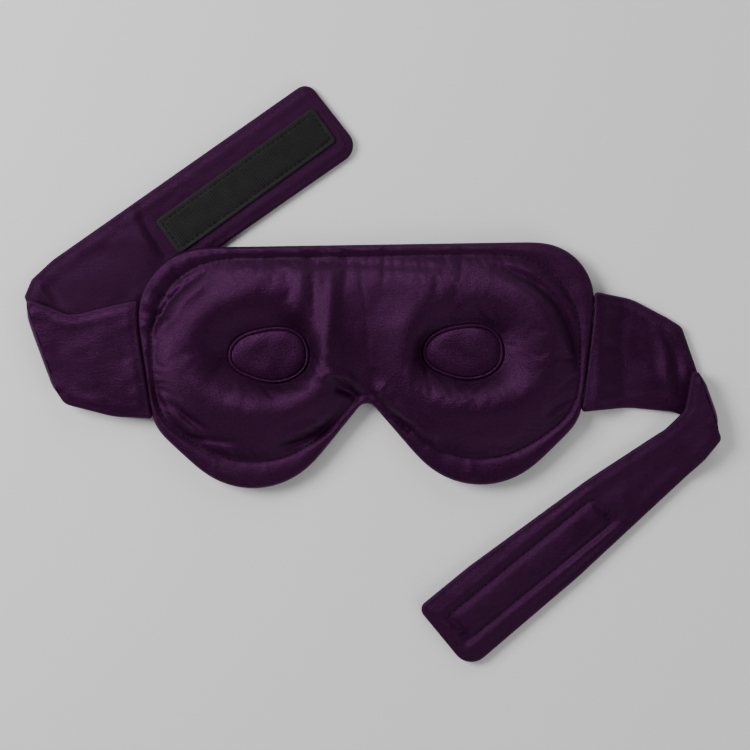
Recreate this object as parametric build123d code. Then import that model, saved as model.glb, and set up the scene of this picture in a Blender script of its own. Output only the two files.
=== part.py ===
from build123d import *
import os
from math import cos, radians, sin

# Padded sleep mask lying on a table with its face side up, in millimetres.
# X runs across the eyes, Y towards the forehead, Z up.  The origin is the
# middle of the flat outer side, under the nose bridge, and the straps are
# folded back as for storage.

# ---------------------------------------------------------------- sizes
# mask outline
mask_width = 223.0
mask_top = 54.0
mask_corner_radius = 25.0
cheek_corner_in = 11.5
cheek_corner_y = -30.0
cheek_corner_radius = 14.0
lobe_x = 50.0
lobe_corner_y = -77.5
lobe_radius = 39.0
nose_notch_y = -17.5
nose_notch_radius = 5.0

# pad inside the topstitching
pad_side_margin = 12.0
pad_top_margin = 8.0
pad_corner_radius = 34.0
pad_cheek_in = 3.0
pad_cheek_y = -24.0
pad_cheek_radius = 20.0
pad_lobe_x = 47.0
pad_lobe_y = -58.0
pad_lobe_radius = 44.0
pad_nose_y = -9.5
pad_nose_radius = 8.0
stitch_margin = 2.6
stitch_gap_half_width = 16.0

# eye openings
eye_spacing = 91.0
eye_y = 2.9
eye_width = 38.0
eye_height = 26.0
cup_flare_x = 10.0
cup_flare_y = 8.0
crest_width = 3.0
ring_spread = 8.0
insert_height = 2.6
piping_width = 1.8

# layers
panel_thickness = 0.8
face_thickness = 0.6
rim_fill = 1.4
pad_height = 4.6
ring_height = 5.0
cup_floor_height = 0.6
slope_land = 0.5
thread_width = 0.6
thread_height = 0.25
piping_rounding = 0.45
insert_clearance = 0.1

# straps
strap_thickness = 3.6
cover_thickness = 0.5
seam_gap = 0.3
layer_gap = 0.4
seam_top_y = 30.5
seam_bottom_y = -26.0
hinge_gap = 0.3

# hook and loop closure
tape_length = 91.5
tape_width = 19.5
tape_thickness = 1.0
tape_stitch_inset = 2.4

# ---------------------------------------------------------------- levels
upper_level = strap_thickness + tape_thickness + layer_gap
fold_axis_z = (upper_level + strap_thickness) / 2
side_axis_z = upper_level + strap_thickness
rim_top = upper_level + panel_thickness + rim_fill
pad_top = rim_top + pad_height
ring_top = pad_top + ring_height
cup_floor = upper_level + panel_thickness + cup_floor_height
half_width = mask_width / 2
half_fold_gap = hinge_gap / 2

# ---------------------------------------------------------------- left strap
# Outlines are given from the middle of the side seam: X outwards, Y up.
left_wing_top = [(-16.5, 25.0), (-33.5, 21.0)]
left_fold = [(-55.5, 30.0), (-38.0, -20.5)]
left_wing_bottom = [(-14.0, -27.0)]
left_wing_top_radii = [25.0, 12.0]
left_wing_bottom_radii = [40.0]
# The tail passes under the temple, so it is given from the level of the mask's top edge.
left_tail_outline = [(-52.0, -13.75), (-42.0, -4.75), (79.0, 77.25), (103.5, 45.05), (41.5, 3.25), (1.0, -25.75)]
left_tail_radii = [3.0, 20.0, 6.0, 8.0, 20.0, 20.0]
left_tape_centre = (49.5, 30.75)
left_tape_angle = 34.9

# ---------------------------------------------------------------- right strap
right_wing_top = [(20.5, 24.5), (37.0, 15.5)]
right_fold = [(44.0, 11.0), (61.5, -42.0)]
right_wing_bottom = [(41.0, -29.0), (18.0, -26.5)]
right_wing_top_radii = [25.0, 4.0]
right_wing_bottom_radii = [20.0, 40.0]
right_tail_start = 0.28
right_tail_outline = [
    (53.5, -51.5),
    (-7.0, -106.0),
    (-58.5, -148.5),
    (-82.0, -119.0),
    (-58.0, -100.0),
    (-1.5, -60.0),
    (35.0, -37.0),
    (44.5, -28.0),
]
right_tail_radii = [20.0, 40.0, 9.0, 4.0, 40.0, 60.0, 8.0, 8.0]
right_tape_centre = (-29.0, -101.5)
right_tape_angle = 38.3
right_wing_drop = [(-20.0, 0.0), (3.0, 0.0), (17.0, -1.0), (120.0, -1.0)]
right_tail_heading = 218.6
right_tail_drop = [(-60.0, 0.0), (20.0, 0.0), (36.0, -1.0), (260.0, -1.0)]


# ---------------------------------------------------------------- helpers
def rounded(points, radii):
    """Closed face through corner points, each rounded by its own radius."""
    return make_face(FilletPolyline(*points, radius=radii, close=True))


def mirrored_outline(half_points, half_radii, middle_point, middle_radius):
    """Face symmetric about X = 0: corners of the right half, then the notch in the middle."""
    left = [(-x, y) for x, y in reversed(half_points)]
    points = half_points + [middle_point] + left
    radii = half_radii + [middle_radius] + list(reversed(half_radii))
    return rounded(points, radii)


def prism(face, bottom, top):
    """Upright solid of a flat face between two heights."""
    return Pos(0, 0, bottom) * extrude(face, top - bottom)


def ellipse_frustum(centre, low_size, high_size, bottom, top):
    """Upright solid between two ellipses given by their half sizes."""
    x, y = centre
    low = Pos(x, y, bottom) * Ellipse(*low_size)
    high = Pos(x, y, top) * Ellipse(*high_size)
    return loft([low.face(), high.face()])


def grown(size, amount):
    """Half sizes of an ellipse made larger all round."""
    return (size[0] + amount, size[1] + amount)


def save(shape, name):
    """Write one node."""
    shape.label = name
    export_step(shape, f"parts/{name}.step")


# ---------------------------------------------------------------- mask
def mask_face():
    """Outline of the mask: straight top, rounded temples, two cheek lobes and a nose notch."""
    corners = [
        (half_width, mask_top),
        (half_width - cheek_corner_in, cheek_corner_y),
        (lobe_x, lobe_corner_y),
    ]
    radii = [mask_corner_radius, cheek_corner_radius, lobe_radius]
    return mirrored_outline(corners, radii, (0, nose_notch_y), nose_notch_radius)


def pad_face():
    """Outline of the padding, inside the topstitching."""
    side = half_width - pad_side_margin
    corners = [
        (side, mask_top - pad_top_margin),
        (side - pad_cheek_in, pad_cheek_y),
        (pad_lobe_x, pad_lobe_y),
    ]
    radii = [pad_corner_radius, pad_cheek_radius, pad_lobe_radius]
    return mirrored_outline(corners, radii, (0, pad_nose_y), pad_nose_radius)


def sloped_down(face, top, bottom):
    """Solid under a face whose sides lean inwards on the way down."""
    block = prism(face, bottom, top)
    return chamfer(block.edges().group_by(Axis.Z)[0], top - bottom - slope_land)


def sloped_up(face, bottom, top):
    """Solid over a face whose sides lean inwards on the way up."""
    block = prism(face, bottom, top)
    return chamfer(block.edges().group_by(Axis.Z)[-1], top - bottom - slope_land)


def eye_centre(side):
    """Middle of one eye opening; side is -1 or 1."""
    return (side * eye_spacing / 2, eye_y)


floor_size = (eye_width / 2, eye_height / 2)
mouth_size = (floor_size[0] + cup_flare_x, floor_size[1] + cup_flare_y)
crest_size = grown(mouth_size, crest_width)
ring_size = grown(crest_size, ring_spread)


def cup_void(side, growth):
    """Space of one eye cup, from its floor to above the crest."""
    low = grown(floor_size, growth)
    high = grown(mouth_size, growth)
    return ellipse_frustum(eye_centre(side), low, high, cup_floor, ring_top + face_thickness)


def ring_hill(side, growth):
    """Raised ring round one eye before its cup is cut out."""
    low = grown(ring_size, growth)
    high = grown(crest_size, growth)
    return ellipse_frustum(eye_centre(side), low, high, pad_top, ring_top + growth)


def build_mask():
    """Pieces of the padded mask by name."""
    outline = mask_face()
    padding = pad_face()
    plate_top = upper_level + panel_thickness
    pan_fill_face = offset(padding, -panel_thickness)

    pan_shell = sloped_down(padding, upper_level, 0)
    pan_fill = sloped_down(pan_fill_face, plate_top, panel_thickness)
    outer_panel = prism(outline, upper_level, plate_top) + pan_shell - pan_fill

    rim_layer = prism(offset(outline, -stitch_margin), plate_top, rim_top)
    pad_layer = sloped_up(padding, rim_top, pad_top)
    lined_cups = [cup_void(side, face_thickness) for side in (-1, 1)]
    core = pan_fill + rim_layer + pad_layer
    for lined_cup in lined_cups:
        core -= lined_cup

    pieces = {"outer_panel": outer_panel, "core_pad": core}
    skin_face = offset(padding, face_thickness)
    skin = prism(outline, plate_top, rim_top + face_thickness)
    skin += sloped_up(skin_face, rim_top, pad_top + face_thickness)
    for side in (-1, 1):
        skin += ring_hill(side, face_thickness)
        skin -= cup_void(side, 0)
    skin -= core
    for side, name in ((-1, "left"), (1, "right")):
        ring_pad = ring_hill(side, 0) - cup_void(side, face_thickness)
        skin -= ring_pad
        pieces[f"{name}_ring_pad"] = ring_pad

        x, y = eye_centre(side)
        piping_outer = grown(floor_size, -insert_clearance)
        piping_inner = grown(piping_outer, -piping_width)
        insert_size = grown(piping_inner, -insert_clearance)
        insert = Pos(x, y, cup_floor) * extrude(Ellipse(*insert_size), insert_height)
        insert = fillet(insert.edges().group_by(Axis.Z)[-1], insert_height / 2)
        piping = Pos(x, y, cup_floor) * extrude(Ellipse(*piping_outer) - Ellipse(*piping_inner), piping_width)
        piping = fillet(piping.edges().group_by(Axis.Z)[-1], piping_rounding)
        pieces[f"{name}_eye_insert"] = insert
        pieces[f"{name}_eye_piping"] = piping
    pieces["face_panel"] = skin

    seam = offset(padding, stitch_margin + thread_width / 2) - offset(padding, stitch_margin - thread_width / 2)
    nose_side = Pos(0, nose_notch_y - half_width) * Rectangle(2 * stitch_gap_half_width, mask_width)
    seam -= nose_side
    thread_bottom = rim_top + face_thickness
    pieces["panel_stitching"] = prism(seam, thread_bottom, thread_bottom + thread_height)
    return pieces


# ---------------------------------------------------------------- straps
def seam_point(side, y):
    """Point on the mask's side edge at a height y, on the left (-1) or right (1)."""
    rise = mask_top - cheek_corner_y
    inset = cheek_corner_in * (mask_top - y) / rise
    return (side * (half_width - inset), y)


def seam_middle(side):
    """Middle of the side seam."""
    return seam_point(side, (seam_top_y + seam_bottom_y) / 2)


def from_seam(side, points):
    """Points given from the middle of a side seam, in the frame of the mask."""
    x, y = seam_middle(side)
    return [(x + dx, y + dy) for dx, dy in points]


def from_temple(side, points):
    """Points given from the middle of a side seam in X and from the mask's top edge in Y."""
    x = seam_middle(side)[0]
    return [(x + dx, mask_top + dy) for dx, dy in points]


def set_back(points, side, gap):
    """Points of a strap's edge moved outwards from the mask by a gap."""
    return [(x + side * gap, y) for x, y in points]


def inward_fold(side, fold):
    """End points of the fold line moved towards the mask by half the fold gap."""
    return [(x - side * half_fold_gap, y) for x, y in from_seam(side, fold)]


def lying_line(heading, origin, path, low, high, reach):
    """Solid between two heights above a path in an upright plane, as wide as reach."""
    along = (cos(radians(heading)), sin(radians(heading)), 0)
    across = (sin(radians(heading)), -cos(radians(heading)), 0)
    plane = Plane(origin=(origin[0], origin[1], 0), x_dir=along, z_dir=across)
    lower = [(s, z + low) for s, z in path]
    upper = [(s, z + high) for s, z in reversed(path)]
    return extrude(plane * make_face(Polyline(*lower, *upper, close=True)), reach, both=True)


class Strap:
    """One length of strap: two covers that meet at a side seam, with batting between them."""

    def __init__(self, face, path, origin=(0, 0), heading=0):
        self.face = face
        self.path = path
        self.origin = origin
        self.heading = heading

    def layer(self, inset, low, high):
        """Solid of the strap's outline between two heights above its underside."""
        face = offset(self.face, -inset) if inset else self.face
        band = lying_line(self.heading, self.origin, self.path, low, high, 2 * mask_width)
        return prism(face, -strap_thickness, 2 * side_axis_z) & band

    def pieces(self):
        """Lower cover, batting and upper cover."""
        middle = strap_thickness / 2
        fill = self.layer(cover_thickness, cover_thickness, strap_thickness - cover_thickness)
        lower = self.layer(0, 0, middle) - fill
        upper = self.layer(0, middle, strap_thickness) - fill
        return lower, fill, upper


def tape_face(centre, angle, inset):
    """Rectangle of a closure tape, made smaller all round by an inset."""
    return Pos(*centre) * Rot(0, 0, angle) * Rectangle(tape_length - 2 * inset, tape_width - 2 * inset)


def tape_seam(centre, angle, level):
    """Ring of thread that holds a tape, lying on a level."""
    half = thread_width / 2
    ring = tape_face(centre, angle, tape_stitch_inset - half) - tape_face(centre, angle, tape_stitch_inset + half)
    return prism(ring, level, level + thread_height)


def build_left_strap():
    """Pieces of the left strap: a wing on the upper level and its tail folded under it."""
    side = -1
    fold_top, fold_bottom = inward_fold(side, left_fold)
    seam_top, seam_bottom = set_back([seam_point(side, seam_top_y), seam_point(side, seam_bottom_y)], side, seam_gap)
    wing_points = [seam_top, *from_seam(side, left_wing_top), fold_top, fold_bottom]
    wing_points += [*from_seam(side, left_wing_bottom), seam_bottom]
    wing_radii = [0, *left_wing_top_radii, 0, 0, *left_wing_bottom_radii, 0]
    wing_face = rounded(wing_points, wing_radii)
    wing = Strap(wing_face, [(-mask_width, upper_level), (mask_width, upper_level)])
    tail_points = [fold_top, *from_temple(side, left_tail_outline), fold_bottom]
    tail = Strap(rounded(tail_points, [0, *left_tail_radii, 0]), [(-2 * mask_width, 0), (2 * mask_width, 0)])

    pieces = {}
    names = ("left_wing_outer_cover", "left_wing_batting", "left_wing_inner_cover")
    pieces.update(zip(names, wing.pieces()))
    names = ("left_tail_inner_cover", "left_tail_batting", "left_tail_outer_cover")
    pieces.update(zip(names, tail.pieces()))
    centre = from_temple(side, [left_tape_centre])[0]
    tape_bottom = strap_thickness
    tape_top = tape_bottom + tape_thickness
    pieces["loop_tape"] = prism(tape_face(centre, left_tape_angle, 0), tape_bottom, tape_top)
    pieces["loop_tape_stitching"] = tape_seam(centre, left_tape_angle, tape_top)
    return pieces


def build_right_strap():
    """Pieces of the right strap: a wing that drops to the table and its tail folded over it."""
    side = 1
    fold_top, fold_bottom = inward_fold(side, right_fold)
    seam_top, seam_bottom = set_back([seam_point(side, seam_top_y), seam_point(side, seam_bottom_y)], side, seam_gap)
    wing_points = [seam_top, *from_seam(side, right_wing_top), fold_top, fold_bottom]
    wing_points += [*from_seam(side, right_wing_bottom), seam_bottom]
    wing_radii = [0, *right_wing_top_radii, 0, 0, *right_wing_bottom_radii, 0]
    wing_face = rounded(wing_points, wing_radii)
    wing_path = [(s, upper_level + drop * upper_level) for s, drop in right_wing_drop]
    wing = Strap(wing_face, wing_path, seam_middle(side))

    tail_start = tuple(a + right_tail_start * (b - a) for a, b in zip(fold_top, fold_bottom))
    tail_points = [tail_start, fold_bottom, *from_seam(side, right_tail_outline)]
    tail_face = rounded(tail_points, [0, 0, *right_tail_radii])
    fold_middle = ((fold_top[0] + fold_bottom[0]) / 2, (fold_top[1] + fold_bottom[1]) / 2)
    tail_fall = upper_level - tape_thickness
    tail_path = [(s, upper_level + drop * tail_fall) for s, drop in right_tail_drop]
    tail = Strap(tail_face, tail_path, fold_middle, right_tail_heading)

    pieces = {}
    names = ("right_wing_outer_cover", "right_wing_batting", "right_wing_inner_cover")
    pieces.update(zip(names, wing.pieces()))
    names = ("right_tail_inner_cover", "right_tail_batting", "right_tail_outer_cover")
    pieces.update(zip(names, tail.pieces()))
    centre = from_seam(side, [right_tape_centre])[0]
    pieces["hook_tape"] = prism(tape_face(centre, right_tape_angle, 0), 0, tape_thickness)
    seam_level = tape_thickness + strap_thickness
    pieces["hook_tape_stitching"] = tape_seam(centre, right_tape_angle, seam_level)
    return pieces


# ---------------------------------------------------------------- build
os.makedirs("parts", exist_ok=True)
for name, shape in {**build_mask(), **build_left_strap(), **build_right_strap()}.items():
    save(shape, name)

for side, fold, name in ((-1, left_fold, "left"), (1, right_fold, "right")):
    top, bottom = from_seam(side, fold)
    print(name, "fold line", top, bottom, "at height", fold_axis_z)
    print(name, "side seam", seam_point(side, seam_top_y), seam_point(side, seam_bottom_y), "at height", side_axis_z)
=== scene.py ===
"""Padded satin sleep mask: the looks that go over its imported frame."""
import logging
import math
from dataclasses import dataclass
from enum import Enum
from typing import Callable, Optional, Sequence

import bmesh
import bpy
import numpy as np
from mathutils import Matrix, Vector
from mathutils.geometry import delaunay_2d_cdt


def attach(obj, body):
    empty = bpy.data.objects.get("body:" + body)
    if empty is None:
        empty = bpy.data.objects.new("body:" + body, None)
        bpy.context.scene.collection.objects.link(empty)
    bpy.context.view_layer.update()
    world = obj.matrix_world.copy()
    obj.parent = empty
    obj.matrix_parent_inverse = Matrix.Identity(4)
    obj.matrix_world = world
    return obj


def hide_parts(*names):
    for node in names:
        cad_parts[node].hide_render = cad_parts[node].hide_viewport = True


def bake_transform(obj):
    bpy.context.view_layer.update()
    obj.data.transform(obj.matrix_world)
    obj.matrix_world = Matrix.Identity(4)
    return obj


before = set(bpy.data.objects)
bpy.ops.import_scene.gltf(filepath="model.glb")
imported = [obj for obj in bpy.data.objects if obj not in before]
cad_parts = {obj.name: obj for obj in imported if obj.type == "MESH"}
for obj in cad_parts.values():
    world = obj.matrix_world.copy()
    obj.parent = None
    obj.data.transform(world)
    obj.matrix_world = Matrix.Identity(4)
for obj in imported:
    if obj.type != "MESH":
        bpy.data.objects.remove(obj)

log = logging.getLogger("sleep_mask")
MM = 0.001
Point = tuple[float, float]
Colour = tuple[float, float, float]
Heights = Callable[[np.ndarray], np.ndarray]


# ---------------------------------------------------------------- shader arithmetic
class Value:
    """A shader socket that takes part in Python arithmetic."""

    def __init__(self, shader: "Shader", socket: bpy.types.NodeSocket) -> None:
        """Wrap an output socket.

        Args:
            shader: The material's node tree builder.
            socket: The output socket that carries the number.
        """
        self.shader = shader
        self.socket = socket

    def _math(self, operation: str, first: object, second: object) -> "Value":
        """Add one Math node and return its result."""
        node = self.shader.node("ShaderNodeMath", {"operation": operation}, {0: first, 1: second})
        return Value(self.shader, node.outputs[0])

    def __add__(self, other: object) -> "Value":
        """Sum."""
        return self._math("ADD", self, other)

    def __sub__(self, other: object) -> "Value":
        """Difference."""
        return self._math("SUBTRACT", self, other)

    def __rsub__(self, other: object) -> "Value":
        """Difference with the number first."""
        return self._math("SUBTRACT", other, self)

    def __mul__(self, other: object) -> "Value":
        """Product."""
        return self._math("MULTIPLY", self, other)

    __radd__ = __add__
    __rmul__ = __mul__

    def between(self, low: float, high: float) -> "Value":
        """Smooth step from 0 at low to 1 at high."""
        settings = {"interpolation_type": "SMOOTHSTEP"}
        node = self.shader.node("ShaderNodeMapRange", settings, {0: self, 1: low, 2: high, 3: 0.0, 4: 1.0})
        return Value(self.shader, node.outputs[0])


class Shader:
    """Builds one material's nodes around a Principled shader."""

    def __init__(self, name: str) -> None:
        """Create the material.

        Args:
            name: Name of the material.
        """
        self.material = bpy.data.materials.new(name)
        self.material.use_nodes = True
        self.tree = self.material.node_tree
        self.surface = self.tree.nodes["Principled BSDF"]
        self.place = self.node("ShaderNodeTexCoord").outputs["Object"]

    def node(self, kind: str, settings: Optional[dict] = None, values: Optional[dict] = None) -> bpy.types.Node:
        """Add a node, set it up, then fill or link its inputs.

        Args:
            kind: Type of the node.
            settings: Properties by name, set before the inputs.
            values: Inputs by name or number: a number, a colour, a Value or a socket.

        Returns:
            The new node.
        """
        node = self.tree.nodes.new(kind)
        for key, setting in (settings or {}).items():
            setattr(node, key, setting)
        for key, value in (values or {}).items():
            self.feed(node.inputs[key], value)
        return node

    def feed(self, socket: bpy.types.NodeSocket, value: object) -> None:
        """Give a socket a link or a plain value."""
        if isinstance(value, Value):
            self.tree.links.new(value.socket, socket)
        elif isinstance(value, bpy.types.NodeSocket):
            self.tree.links.new(value, socket)
        elif isinstance(value, (tuple, list)) and socket.type == "RGBA" and len(value) == 3:
            socket.default_value = (*value, 1.0)
        else:
            socket.default_value = value

    def noise(self, size_mm: float, detail: float = 2.0, stretch: Sequence[float] = (1.0, 1.0, 1.0)) -> Value:
        """Smooth noise whose features are about size_mm wide.

        Args:
            size_mm: Width of a feature.
            detail: Levels of finer noise on top.
            stretch: How far features run along each axis.

        Returns:
            The noise, about 0.5 on average.
        """
        scale = tuple(1.0 / s for s in stretch)
        stretched = {"Vector": self.place, "Scale": scale}
        mapped = self.node("ShaderNodeMapping", {"vector_type": "POINT"}, stretched)
        values = {"Vector": mapped.outputs[0], "Scale": 1.0 / (size_mm * MM), "Detail": detail}
        return Value(self, self.node("ShaderNodeTexNoise", None, values).outputs[0])

    def wave(self, period_mm: float, angle_deg: float, distortion: float = 0.0) -> Value:
        """Parallel threads at an angle in the plan.

        Args:
            period_mm: Distance from one thread to the next.
            angle_deg: Direction across the threads.
            distortion: How unevenly the threads run.

        Returns:
            A value from 0 between threads to 1 on top of them.
        """
        turn = (0.0, 0.0, math.radians(angle_deg))
        turned = {"Vector": self.place, "Rotation": turn}
        mapped = self.node("ShaderNodeMapping", {"vector_type": "TEXTURE"}, turned)
        scale = math.tau / (20.0 * period_mm * MM)
        values = {"Vector": mapped.outputs[0], "Scale": scale, "Distortion": distortion, "Detail": 1.0}
        settings = {"wave_type": "BANDS", "bands_direction": "X", "wave_profile": "SIN"}
        return Value(self, self.node("ShaderNodeTexWave", settings, values).outputs["Fac"])

    def attribute(self, name: str) -> Value:
        """A number stored on the mesh under a name."""
        return Value(self, self.node("ShaderNodeAttribute", {"attribute_name": name}).outputs["Fac"])

    def mix(self, amount: object, first: object, second: object) -> bpy.types.NodeSocket:
        """Blend two colours.

        Args:
            amount: 0 for the first colour, 1 for the second.
            first: Colour or socket.
            second: Colour or socket.

        Returns:
            The blended colour's socket.
        """
        node = self.node("ShaderNodeMix", {"data_type": "RGBA"}, {0: amount, 6: first, 7: second})
        return node.outputs[2]

    def bump(self, height: Value, depth_mm: float, strength: float = 1.0) -> None:
        """Feed a height to the shader's normal.

        Args:
            height: Height from 0 to 1.
            depth_mm: Real depth of a height of 1.
            strength: Share of the effect.
        """
        values = {"Height": height, "Distance": depth_mm * MM, "Strength": strength}
        self.surface_input("Normal", self.node("ShaderNodeBump", None, values).outputs[0])

    def surface_input(self, name: str, value: object) -> None:
        """Set or link one input of the Principled shader."""
        self.feed(self.surface.inputs[name], value)


# ---------------------------------------------------------------- finishes
@dataclass(frozen=True)
class SatinFinish:
    """Dark purple satin: coloured sheen, fine diagonal weave and soft crumples."""

    name: str = "purple_satin"
    deep: Colour = (0.0082, 0.0010, 0.0070)
    glow: Colour = (0.0180, 0.0024, 0.0165)
    shine: Colour = (0.86, 0.26, 0.88)
    roughness: float = 0.47
    weave_mm: float = 0.34
    grain_mm: float = 0.85
    crumple_mm: float = 9.0

    def make(self) -> bpy.types.Material:
        """Build the material.

        Returns:
            The finished material, which darkens its colour by a mesh attribute that holds wear and painted
            shade.
        """
        s = Shader(self.name)
        cloud = s.noise(30.0, 2.0)
        slub = s.noise(0.8, 2.0, (6.0, 0.8, 1.0))
        grain = s.noise(self.grain_mm, 2.0)
        speckle = grain.between(0.38, 0.66)
        warp = s.wave(self.weave_mm, 27.0, 0.6)
        weft = s.wave(self.weave_mm * 1.9, 117.0, 0.8)
        wear_and_shade = s.attribute("wear_and_shade")
        tone = cloud.between(0.3, 0.72) * 0.20 + slub * 0.30 + speckle * 0.40 + warp * 0.10
        base = s.mix(tone, self.deep, self.glow)
        # The attribute mixes the colour towards a darker shade: painted shade in stitched seams and over a
        # whole strap piece, and darker rubbed edges.
        shade = tuple(channel * 0.4 for channel in self.deep)
        s.surface_input("Base Color", s.mix(wear_and_shade * 0.5, base, shade))
        smoothest = self.roughness - 0.13
        s.surface_input("Roughness", slub * 0.10 + speckle * 0.14 + wear_and_shade * 0.15 + smoothest)
        s.surface_input("Specular IOR Level", 0.36)
        s.surface_input("Specular Tint", (*self.shine, 1.0))
        s.surface_input("Anisotropic", 0.35)
        s.surface_input("Sheen Weight", 0.02)
        s.surface_input("Sheen Roughness", 0.4)
        s.surface_input("Sheen Tint", (*self.shine, 1.0))
        crumple = s.noise(self.crumple_mm, 2.0, (1.4, 0.8, 1.0))
        height = crumple * 0.20 + slub * 0.20 + grain * 0.42 + warp * 0.12 + weft * 0.06
        s.bump(height, 0.50, 0.8)
        return s.material


@dataclass(frozen=True)
class TapeFinish:
    """Black closure tape: matt, with a dusty tangled pile."""

    name: str = "closure_tape_black"
    dark: Colour = (0.0030, 0.0024, 0.0029)
    dusty: Colour = (0.0130, 0.0112, 0.0130)
    pile_mm: float = 0.35

    def make(self) -> bpy.types.Material:
        """Build the material.

        Returns:
            The finished material, which reads the mesh attribute "worn".
        """
        s = Shader(self.name)
        pile = s.noise(self.pile_mm, 3.0)
        cloud = s.noise(11.0, 2.0)
        wear_and_shade = s.attribute("wear_and_shade")
        tone = pile.between(0.35, 0.75) * 0.6 + cloud * 0.25 + wear_and_shade * 0.35
        s.surface_input("Base Color", s.mix(tone, self.dark, self.dusty))
        s.surface_input("Roughness", pile * 0.2 + 0.62)
        s.surface_input("Specular IOR Level", 0.24)
        s.surface_input("Sheen Weight", 0.02)
        s.surface_input("Sheen Roughness", 0.6)
        s.bump(pile * 0.7 + s.noise(0.9, 1.0) * 0.3, 0.35, 0.9)
        return s.material


@dataclass(frozen=True)
class ThreadFinish:
    """Polyester sewing thread with a twist."""

    name: str
    dark: Colour
    light: Colour
    twist_mm: float = 0.3

    def make(self) -> bpy.types.Material:
        """Build the material.

        Returns:
            The finished material.
        """
        s = Shader(self.name)
        twist = s.wave(self.twist_mm, 40.0, 0.5)
        fuzz = s.noise(0.4, 2.0)
        s.surface_input("Base Color", s.mix(twist * 0.6 + fuzz * 0.4, self.dark, self.light))
        s.surface_input("Roughness", fuzz * 0.25 + 0.50)
        s.surface_input("Specular IOR Level", 0.12)
        s.bump(twist * 0.8 + fuzz * 0.2, 0.08, 0.8)
        return s.material


@dataclass(frozen=True)
class FloorFinish:
    """Plain pale studio paper."""

    name: str = "pale_floor"
    colour: Colour = (0.80, 0.80, 0.80)

    def make(self) -> bpy.types.Material:
        """Build the material.

        Returns:
            The finished material.
        """
        s = Shader(self.name)
        s.surface_input("Base Color", self.colour)
        s.surface_input("Roughness", 0.9)
        s.surface_input("Specular IOR Level", 0.1)
        return s.material


# ---------------------------------------------------------------- plan outlines
def smooth_step(value: np.ndarray, low: float, high: float) -> np.ndarray:
    """Smooth step from 0 at low to 1 at high."""
    t = np.clip((value - low) / (high - low), 0.0, 1.0)
    return t * t * (3.0 - 2.0 * t)


def bell(distance: np.ndarray, width: float) -> np.ndarray:
    """Bell curve: 1 at no distance, falling off over a width."""
    return np.exp(-((distance / width) ** 2))


def rolled(depth: np.ndarray, radius: float) -> np.ndarray:
    """Quarter round: 0 at an edge, 1 from a radius inside it."""
    return np.sqrt(np.clip(1.0 - (1.0 - np.clip(depth / radius, 0.0, 1.0)) ** 2, 0.0, 1.0))


def level_at(height: float) -> Heights:
    """Flat surface at a height."""

    def flat(where: np.ndarray) -> np.ndarray:
        """The same height everywhere."""
        return np.full(len(where), height)

    return flat


def resampled(points: np.ndarray, step: float) -> np.ndarray:
    """Closed polyline with its points spread evenly.

    Args:
        points: Corners of the closed line.
        step: Wanted distance between the new points.

    Returns:
        The new points.
    """
    closed = np.vstack([points, points[:1]])
    along = np.concatenate([[0.0], np.cumsum(np.hypot(*np.diff(closed, axis=0).T))])
    count = int(round(along[-1] / step))
    wanted = np.linspace(0.0, along[-1], count, endpoint=False)
    return np.column_stack([np.interp(wanted, along, closed[:, axis]) for axis in (0, 1)])


def rounded(corners: Sequence[Sequence[float]]) -> np.ndarray:
    """Closed polyline through corners, each rounded by its radius.

    Args:
        corners: X, Y and radius of each corner.

    Returns:
        Points along the rounded outline.
    """
    result = []
    places = [np.array(corner[:2], float) for corner in corners]
    for index, corner in enumerate(corners):
        here = places[index]
        back = places[index - 1] - here
        ahead = places[(index + 1) % len(places)] - here
        back /= np.linalg.norm(back)
        ahead /= np.linalg.norm(ahead)
        radius = corner[2]
        if radius == 0:
            result.append(here)
            continue
        half = math.acos(float(np.clip(back @ ahead, -1.0, 1.0))) / 2.0
        middle = (back + ahead) / np.linalg.norm(back + ahead)
        centre = here + middle * radius / math.sin(half)
        first = here + back * radius / math.tan(half) - centre
        last = here + ahead * radius / math.tan(half) - centre
        start = math.atan2(first[1], first[0])
        sweep = (math.atan2(last[1], last[0]) - start + math.pi) % math.tau - math.pi
        for angle in start + sweep * np.linspace(0.0, 1.0, 12):
            result.append(centre + radius * np.array([math.cos(angle), math.sin(angle)]))
    return np.array(result)


def softened(points: np.ndarray, reach: float, keep: Optional[Callable] = None) -> np.ndarray:
    """Closed outline with its corners eased, as cloth turned inside out has.

    Args:
        points: Corners of the closed line.
        reach: How far the easing looks along the line, in millimetres.
        keep: Gives 1 where the line stays as it is and 0 where it may ease.

    Returns:
        Points one millimetre apart.
    """
    line = resampled(points, 1.0)
    offsets = np.arange(-int(3 * reach), int(3 * reach) + 1)
    weights = np.exp(-((offsets / reach) ** 2) / 2.0)
    weights /= weights.sum()
    eased = sum(weight * np.roll(line, -offset, axis=0) for offset, weight in zip(offsets, weights))
    if keep is None:
        return eased
    hold = keep(line)[:, None]
    return hold * line + (1.0 - hold) * eased


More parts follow.
